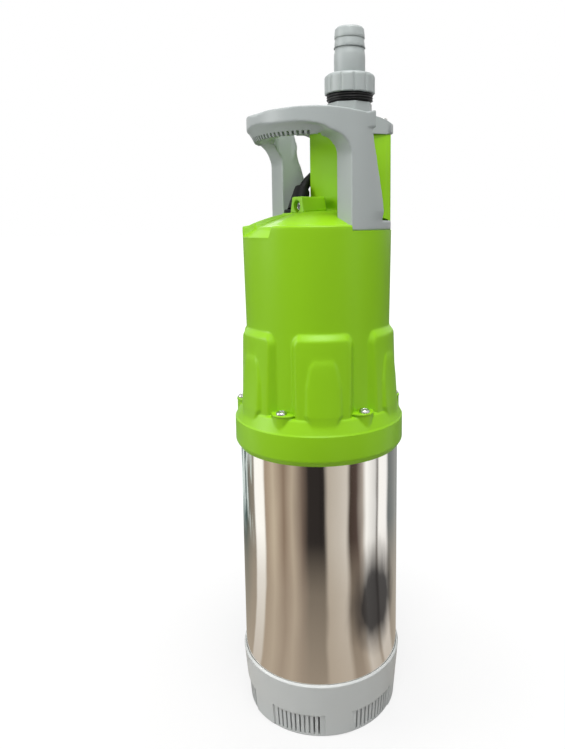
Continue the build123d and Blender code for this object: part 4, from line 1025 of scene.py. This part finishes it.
class PUMP_OT_screws(bpy.types.Operator):
    """Pan head screws: a domed disc over the plane, sunk where a cross recess runs over it."""

    bl_idname = "pump.screws"
    bl_label = "Screws"

    columns = 72
    rings = ((4.6, 3.45, 8), (3.3, 0.12, 26))
    head_r = 4.7
    head_height = 2.9
    rim_height = 0.7
    recess_reach = 2.9
    recess_half = 0.75
    recess_depth = 2.0
    side_slope = 0.09
    end_slope = 0.9
    boss_r = 71.5
    boss_z = 300.5
    flange_turns = (0.3, 1.1, 0.7, 0.1, 0.9, 0.5)
    handle_heads = (((-27.5, 54.5, 553.5), 0.2), ((27.5, 54.5, 553.5), 0.8))
    clamp_heads = (((0.0, -16.4, 477.5), 0.5),)

    def head(self, turn):
        """Points and faces of one head that stands on the origin, with its cross turned.

        The dome falls by the square and the seventh power of the radius. The cross is where the smaller
        distance along its arms is under half an arm's width, and the larger one under their reach.
        """
        angle = even_turns(self.columns)
        r = runs(self.rings)
        share = r / self.head_r
        z = self.head_height * (1 - 0.16 * share ** 2 - 0.42 * share ** 7)
        arms = [np.abs(r * wave(np.radians(angle) - turn)) for wave in (np.cos, np.sin)]
        half, reach = self.recess_half, self.recess_reach
        narrow = eased(np.minimum(*arms), half + self.side_slope, half - self.side_slope)
        cross = narrow * eased(np.maximum(*arms), reach, reach - self.end_slope)
        rim = sides([(self.head_r, 0.0), (self.head_r, self.rim_height)])
        radii, heights = stacked(self.columns, rim, (r, z - self.recess_depth * cross))
        return grid_part(polar_points(radii, angle, heights), caps=(-1,))

    def execute(self, context):
        upright, forward = np.identity(3), np.array(Matrix.Rotation(math.radians(90), 3, "X"))
        around = 30.0 + even_turns(len(self.flange_turns))
        seats = polar_points(self.boss_r, around, self.boss_z) / MM
        groups = (
            ("flange_screws", zip(seats, self.flange_turns), upright),
            ("handle_screws", self.handle_heads, upright),
            ("clamp_screw", self.clamp_heads, forward),
        )
        for node, heads, tilt in groups:
            parts = []
            for place, turn in heads:
                points, faces = self.head(turn)
                parts.append((points @ tilt.T + np.array(place) * MM, faces))
            dress(joined(node + "_heads", parts, 50.0), "root", "screw_steel", [node])
        return {"FINISHED"}


class PUMP_OT_outlet(bpy.types.Operator):
    """The threaded adapter, the lobed union nut and the hose tail, all round the outlet's axis."""

    bl_idname = "pump.outlet"
    bl_label = "Outlet"

    axis = (0.0, 38.0)
    adapter_columns = 144
    adapter_bore = 11.5
    adapter_shank = 16.2
    thread_from = 572.5
    thread_rows = 90
    thread_start_r = 19.3
    thread_root_r = 19.55
    thread_end_r = 19.0
    thread_depth = 1.5
    thread_in = 0.9
    nut_reach = (580.5, 579.5)
    nut_columns = 288
    nut_outer = 23.3
    nut_inner = (20.4, 593.0)
    nut_mouth = (14.75, 594.8)
    nut_rounds = (0.5, 1.0, 3.6, 0.5)
    nut_straight = (1.3, -3.8, 16)
    lobes = 12
    lobe_turn = 11.0
    groove_half = 5.0
    groove_power = 1.6
    groove_depth = 0.95
    flat_depth = 0.45
    groove_from = ((19.2, 0.0), (21.2, 1.0))
    groove_end = (-2.6, -0.6)
    tail_bore = 11.0
    tail_plain = 14.4
    tail_neck = 13.5
    tail_seat = 3.2
    tail_widens = (611.5, 614.0)
    tail_round = 0.25
    barb_r = 13.95
    barbs = (620.1, 628.3)
    barb_pitch = 7.8

    def adapter(self, context):
        """The adapter: its radius grows by the folded phase of height over pitch less a turn's share.

        The ridge fades in at its start, and is full only inside the nut.
        """
        pitch = context.scene.pump_sizes.thread_pitch / MM
        low, high, start = low_of("outlet_adapter"), top_of("outlet_adapter"), self.thread_from
        bore, shank = self.adapter_bore, self.adapter_shank
        turn = even_turns(self.adapter_columns)
        z = runs([(start, high - 0.01, self.thread_rows)])
        ridge = eased(np.abs(2 * (((z - start) / pitch - turn / 360.0) % 1) - 1), 1 / 6, 5 / 6)
        below = eased(z, *self.nut_reach)
        depth = (self.thread_depth * below + 0.1) * eased(z, start, start + self.thread_in)
        r = self.thread_root_r + 0.35 * below + depth * ridge
        before = [(bore, high), (bore, low), (shank, low), (shank, start), (self.thread_start_r, start)]
        after = [(self.thread_end_r, high), (bore, high)]
        radii, heights = stacked(self.adapter_columns, sides(before), (r, z), sides(after))
        made = grid_object("adapter_thread", polar_points(radii, turn, heights, self.axis), sharp=60.0)
        dress(made, "root", "black_plastic", ["outlet_adapter"])

    def nut(self):
        """The nut: its wall is cut by narrow grooves, and by flats that deepen towards the grooves."""
        low, high, outer = low_of("union_nut"), top_of("union_nut"), self.nut_outer
        inner, mouth = self.nut_inner, self.nut_mouth
        corners = [inner, (inner[0], low), (outer, low), (outer, high), (mouth[0], high), mouth]
        profile = rounded(corners, self.nut_rounds, 10)
        first, last, count = self.nut_straight
        index = int(np.argmax((profile[:, 1] > low + 1.2) & (profile[:, 0] > outer - 0.01)))
        wall = [(outer, z) for z in np.linspace(low + first, high + last, count)]
        r, z = sides(np.vstack([profile[:index], wall, profile[index:]]))
        turn = even_turns(self.nut_columns)
        seam = np.abs(wrapped(turn, self.lobes, 180.0 / self.lobes - self.lobe_turn))
        groove = self.groove_depth * np.clip(1 - seam / self.groove_half, 0, 1) ** self.groove_power
        flat = self.flat_depth * (1 - seam / (180.0 / self.lobes)) ** 2
        start, end = self.groove_end
        depth = course(r, self.groove_from) * course(z, ((high + start, 1.0), (high + end, 0.0)))
        points = polar_points(r - depth * (flat + groove), turn, z, self.axis)
        dress(grid_object("nut_lobes", points, sharp=45.0), "union_nut", "grey_plastic", ["union_nut"])

    def tail(self, context):
        """The hose tail: a turned outline with two barbs over a neck that widens into the plain part."""
        low, high, flange = low_of("hose_tail"), top_of("hose_tail"), radius_of("hose_tail")
        bore, plain, neck, barb = self.tail_bore, self.tail_plain, self.tail_neck, self.barb_r
        nut_top, seat_z = top_of("union_nut") + 0.6, low + self.tail_seat
        narrows, ends = self.tail_widens
        outline = [
            (bore, low), (flange, low), (flange, seat_z), (plain - 0.4, seat_z), (plain - 0.4, nut_top),
            (plain, nut_top), (plain, narrows), (plain - 0.1, ends), (neck, self.barbs[0]),
        ]
        for z, end in zip(self.barbs, (self.barbs[0] + self.barb_pitch, high - 1.6)):
            outline += [(barb - 0.75, z), (barb, z + 0.3), (barb, z + 2.6), (neck - 0.1, end)]
        outline += [(neck - 1.1, high), (bore, high)]
        line = rounded(outline, [self.tail_round] * (len(outline) - 2), 3)
        columns = context.scene.pump_sizes.turned_columns
        points = turned_points([*line, (bore, low)], columns, self.axis)
        dress(grid_object("tail_barbs", points, sharp=35.0), "hose_tail", "grey_plastic", ["hose_tail"])

    def execute(self, context):
        self.adapter(context)
        self.nut()
        self.tail(context)
        return {"FINISHED"}


# Frame nodes that keep their own shape


class PUMP_OT_inner(bpy.types.Operator):
    """Gives every frame node the finish of its slot, and the base a copy of the grey moulding painted paler,
    as painted light.
    """

    bl_idname = "pump.inner"
    bl_label = "Frame finishes"

    def execute(self, context):
        slots = {row["node"]: row["material_slot"] for row in frame["record"]["subparts"]}
        # painted light: the base takes the paler copy of the grey moulding
        slots["base_strainer"] = "grey_plastic_painted_paler"
        for name, node in frame["nodes"].items():
            node.data.materials.clear()
            node.data.materials.append(finish_named(slots[name]))
        return {"FINISHED"}


# Stage


class PUMP_OT_stage(bpy.types.Operator):
    """Pale floor, a screen painted with a room's reflection for the steel to mirror, soft lamps and the
    world's light.

    Its lengths are in metres, but for the painted reflection screen's outline.
    """

    bl_idname = "pump.stage"
    bl_label = "Stage"

    floor_half = 30.0
    floor_colour = (0.42, 0.42, 0.415, 1.0)
    floor_glow = (1.14, 1.14, 1.14, 1.0)
    floor_pales = ((0.1, 0.55), (0.72, 1.0))
    painted_reflection_columns = 96
    painted_reflection_outline = ((84.0, 0.6), (300.0, 0.6), (300.0, 290.0))
    # Painted reflection: the colours of a room by angle round the steel, seen only in mirrors
    painted_reflection_stops = (
        (-180, (0.10, 0.13, 0.13)), (-128, (0.05, 0.10, 0.10)), (-106, (0.30, 0.27, 0.22)),
        (-98, (0.30, 0.27, 0.22)), (-95, (1.25, 1.25, 1.22)), (-80, (1.25, 1.25, 1.20)),
        (-77, (0.42, 0.33, 0.24)), (-62, (0.66, 0.56, 0.43)), (-46, (0.30, 0.22, 0.16)),
        (-34, (0.58, 0.49, 0.38)), (-22, (0.20, 0.15, 0.12)), (-13, (0.035, 0.03, 0.028)),
        (6, (0.03, 0.026, 0.024)), (11, (0.60, 0.54, 0.46)), (34, (0.78, 0.73, 0.66)),
        (40, (0.07, 0.05, 0.04)), (49, (0.10, 0.07, 0.06)), (56, (0.50, 0.45, 0.40)),
        (62, (1.20, 1.20, 1.18)), (76, (0.85, 0.85, 0.84)), (80, (0.16, 0.15, 0.14)),
        (84, (1.20, 1.20, 1.18)), (101, (1.15, 1.15, 1.15)), (107, (0.18, 0.20, 0.20)),
        (135, (0.36, 0.37, 0.36)), (180, (0.10, 0.13, 0.13)),
    )
    lamps = (
        ("key", (-0.75, -1.85, 1.05), (0, 0, 0.28), (0.9, 1.1), 21.0),
        ("front", (1.2, -0.8, 1.75), (0, 0, 0.35), (1.3, 1.1), 10.0),
        ("top", (0.5, -0.2, 2.0), (0, 0, 0.4), (0.8, 0.8), 26.0),
        ("side", (2.2, 0.9, 0.8), (0, 0, 0.3), (0.7, 1.4), 5.0),
        ("back", (-1.9, 1.3, 1.1), (0, 0, 0.35), (1.0, 1.2), 17.0),
    )
    # Colours painted into the reflection: pale patches, the floor's brown, and a dark oval of painted shade
    # with its place, scale and fades
    cloth = (0.80, 0.90, 0.88, 1.0)
    painted_reflection_brown = (0.50, 0.42, 0.33, 1.0)
    shade = (0.02, 0.02, 0.024, 1.0)
    shade_place = (0.715, 0.258)
    shade_scale = (8.4, 10.5)
    shade_fades = ((0.55, 1.1), (0.92, 0.0))
    world_light = 0.22

    def floor(self):
        """A large sheet that pales to white away from the pump, so that it has no horizon."""
        half = self.floor_half
        points = np.array([(-half, -half, 0.0), (half, -half, 0.0), (half, half, 0.0), (-half, half, 0.0)])
        floor = joined("floor", [(points, [np.arange(4)[None]])])
        r = Recipe("pale floor")
        r.finish(colour=self.floor_colour, roughness=0.8, specular=0.0)
        reach = r.node("ShaderNodeVectorMath", {"operation": "LENGTH"}, {0: r.place()}, "Value")
        seen = r.node("ShaderNodeLightPath", output="Is Camera Ray")
        r.glow(seen * r.span(reach, *self.floor_pales), self.floor_glow)
        floor.data.materials.append(r.material)

    def painted_uprights(self, r, turn):
        """The painted reflection's colour by the share of a turn. Two ramps, each over half a turn, hold the
        stops.
        """
        low = r.ramp(turn * 2, [((angle + 180) / 180, c) for angle, c in self.painted_reflection_stops if angle < 0])
        high = r.ramp(turn * 2 - 1, [(angle / 180, c) for angle, c in self.painted_reflection_stops if angle >= 0])
        return r.blend(turn.maths("GREATER_THAN", turn, 0.5), low, high)

    def painted_reflection(self):
        """A low round screen that only glossy rays meet, painted with a reflection: the light and dark
        uprights of a room, by angle.

        Painted pale patches lie over the uprights, and a painted reflection of the floor's brown and a
        painted dark oval of shade lie over both.
        """
        painted_reflection = grid_object("painted_reflection_screen", turned_points(self.painted_reflection_outline, self.painted_reflection_columns))
        r = Recipe("painted reflection uprights")
        x, y, z = [r.node("ShaderNodeSeparateXYZ", {}, {0: r.place()}, axis) for axis in "XYZ"]
        a = math.radians(CAMERA_AZIMUTH)
        ahead = x * math.sin(a) - y * math.cos(a)
        right = x * math.cos(a) + y * math.sin(a)
        turn = right.maths("ARCTAN2", right, ahead) / TAU + 0.5
        turn = turn + (r.noise(7.0, 2.0) - 0.5) * 0.03
        patch = r.span(r.noise(24.0, 3.0, (1.0, 1.0, 0.5)), (0.47, 0.56))
        patch = patch * r.span(turn, (0.205, 0.225), (1.0, 0.0)) * r.span(z, (0.03, 0.09))
        # painted reflection: the light and dark uprights, with painted pale patches over them
        upright = r.blend(patch, self.painted_uprights(r, turn), self.cloth)
        reach = (x * x + y * y).root()
        across = (turn - self.shade_place[0]) * self.shade_scale[0]
        along = (z + reach - self.shade_place[1]) * self.shade_scale[1]
        spot = (across * across + along * along).root() + (r.noise(22.0, 2.0) - 0.5) * 0.3
        near = r.span(reach, (0.10, 0.29), (0.18, 0.55))
        # painted reflection of the floor's brown low down and near, then a painted dark oval of shade
        colour = r.blend(near + r.span(z, (0.0, 0.07)) * (1.0 - near), self.painted_reflection_brown, upright)
        colour = r.blend(r.span(spot, *self.shade_fades), colour, self.shade)
        glossy = r.node("ShaderNodeLightPath", output="Is Glossy Ray")
        r.glow(glossy, colour, r.node("ShaderNodeBsdfTransparent"))
        painted_reflection.data.materials.append(r.material)

    def lamp(self, name, place, target, size, watts):
        """An oblong lamp that faces its target."""
        data = bpy.data.lights.new(name, "AREA")
        data.shape = "RECTANGLE"
        data.size, data.size_y = size
        data.energy = watts
        lamp = add_object(name, data)
        lamp.location = place
        lamp.rotation_mode = "QUATERNION"
        lamp.rotation_quaternion = (Vector(target) - Vector(place)).to_track_quat("-Z", "Y")

    def world(self, context):
        """White light from all round: full for the camera and in mirrors, and dimmer on everything else."""
        world = bpy.data.worlds.new("studio")
        world.use_nodes = True
        context.scene.world = world
        nodes = Nodes(world.node_tree)
        seen = nodes.node("ShaderNodeLightPath", output="Is Camera Ray")
        glossy = nodes.node("ShaderNodeLightPath", output="Is Glossy Ray")
        back = world.node_tree.nodes["Background"]
        nodes.feed(back.inputs["Color"], (1.0, 1.0, 1.0, 1.0))
        full = seen.maths("MAXIMUM", seen, glossy)
        nodes.feed(back.inputs["Strength"], self.world_light + (1.0 - self.world_light) * full)

    def execute(self, context):
        self.floor()
        self.painted_reflection()
        for row in self.lamps:
            self.lamp(*row)
        self.world(context)
        context.scene.view_settings.view_transform = "Standard"
        return {"FINISHED"}


class PUMP_PT_panel(bpy.types.Panel):
    """Lists the pump's steps in the sidebar."""

    bl_idname = "PUMP_PT_panel"
    bl_label = "Submersible pump"
    bl_space_type = "VIEW_3D"
    bl_region_type = "UI"
    bl_category = "Pump"

    def draw(self, context):
        for step in STEPS:
            self.layout.operator(step.bl_idname)
        for group in (context.scene.pump_sizes, context.scene.pump_colours):
            for key in group.__annotations__:
                self.layout.prop(group, key)


STEPS = (
    PUMP_OT_camera, PUMP_OT_inner, PUMP_OT_cord, PUMP_OT_tube, PUMP_OT_shell, PUMP_OT_handle, PUMP_OT_screws,
    PUMP_OT_outlet, PUMP_OT_stage,
)
CLASSES = (PumpSizes, PumpColours, *STEPS, PUMP_PT_panel)


def register():
    for one in CLASSES:
        bpy.utils.register_class(one)
    bpy.types.Scene.pump_sizes = PointerProperty(type=PumpSizes)
    bpy.types.Scene.pump_colours = PointerProperty(type=PumpColours)


def unregister():
    del bpy.types.Scene.pump_colours
    del bpy.types.Scene.pump_sizes
    for one in reversed(CLASSES):
        bpy.utils.unregister_class(one)


def main():
    register()
    for step in STEPS:
        group, name = step.bl_idname.split(".")
        getattr(getattr(bpy.ops, group), name)()


if __name__ == "__main__":
    main()
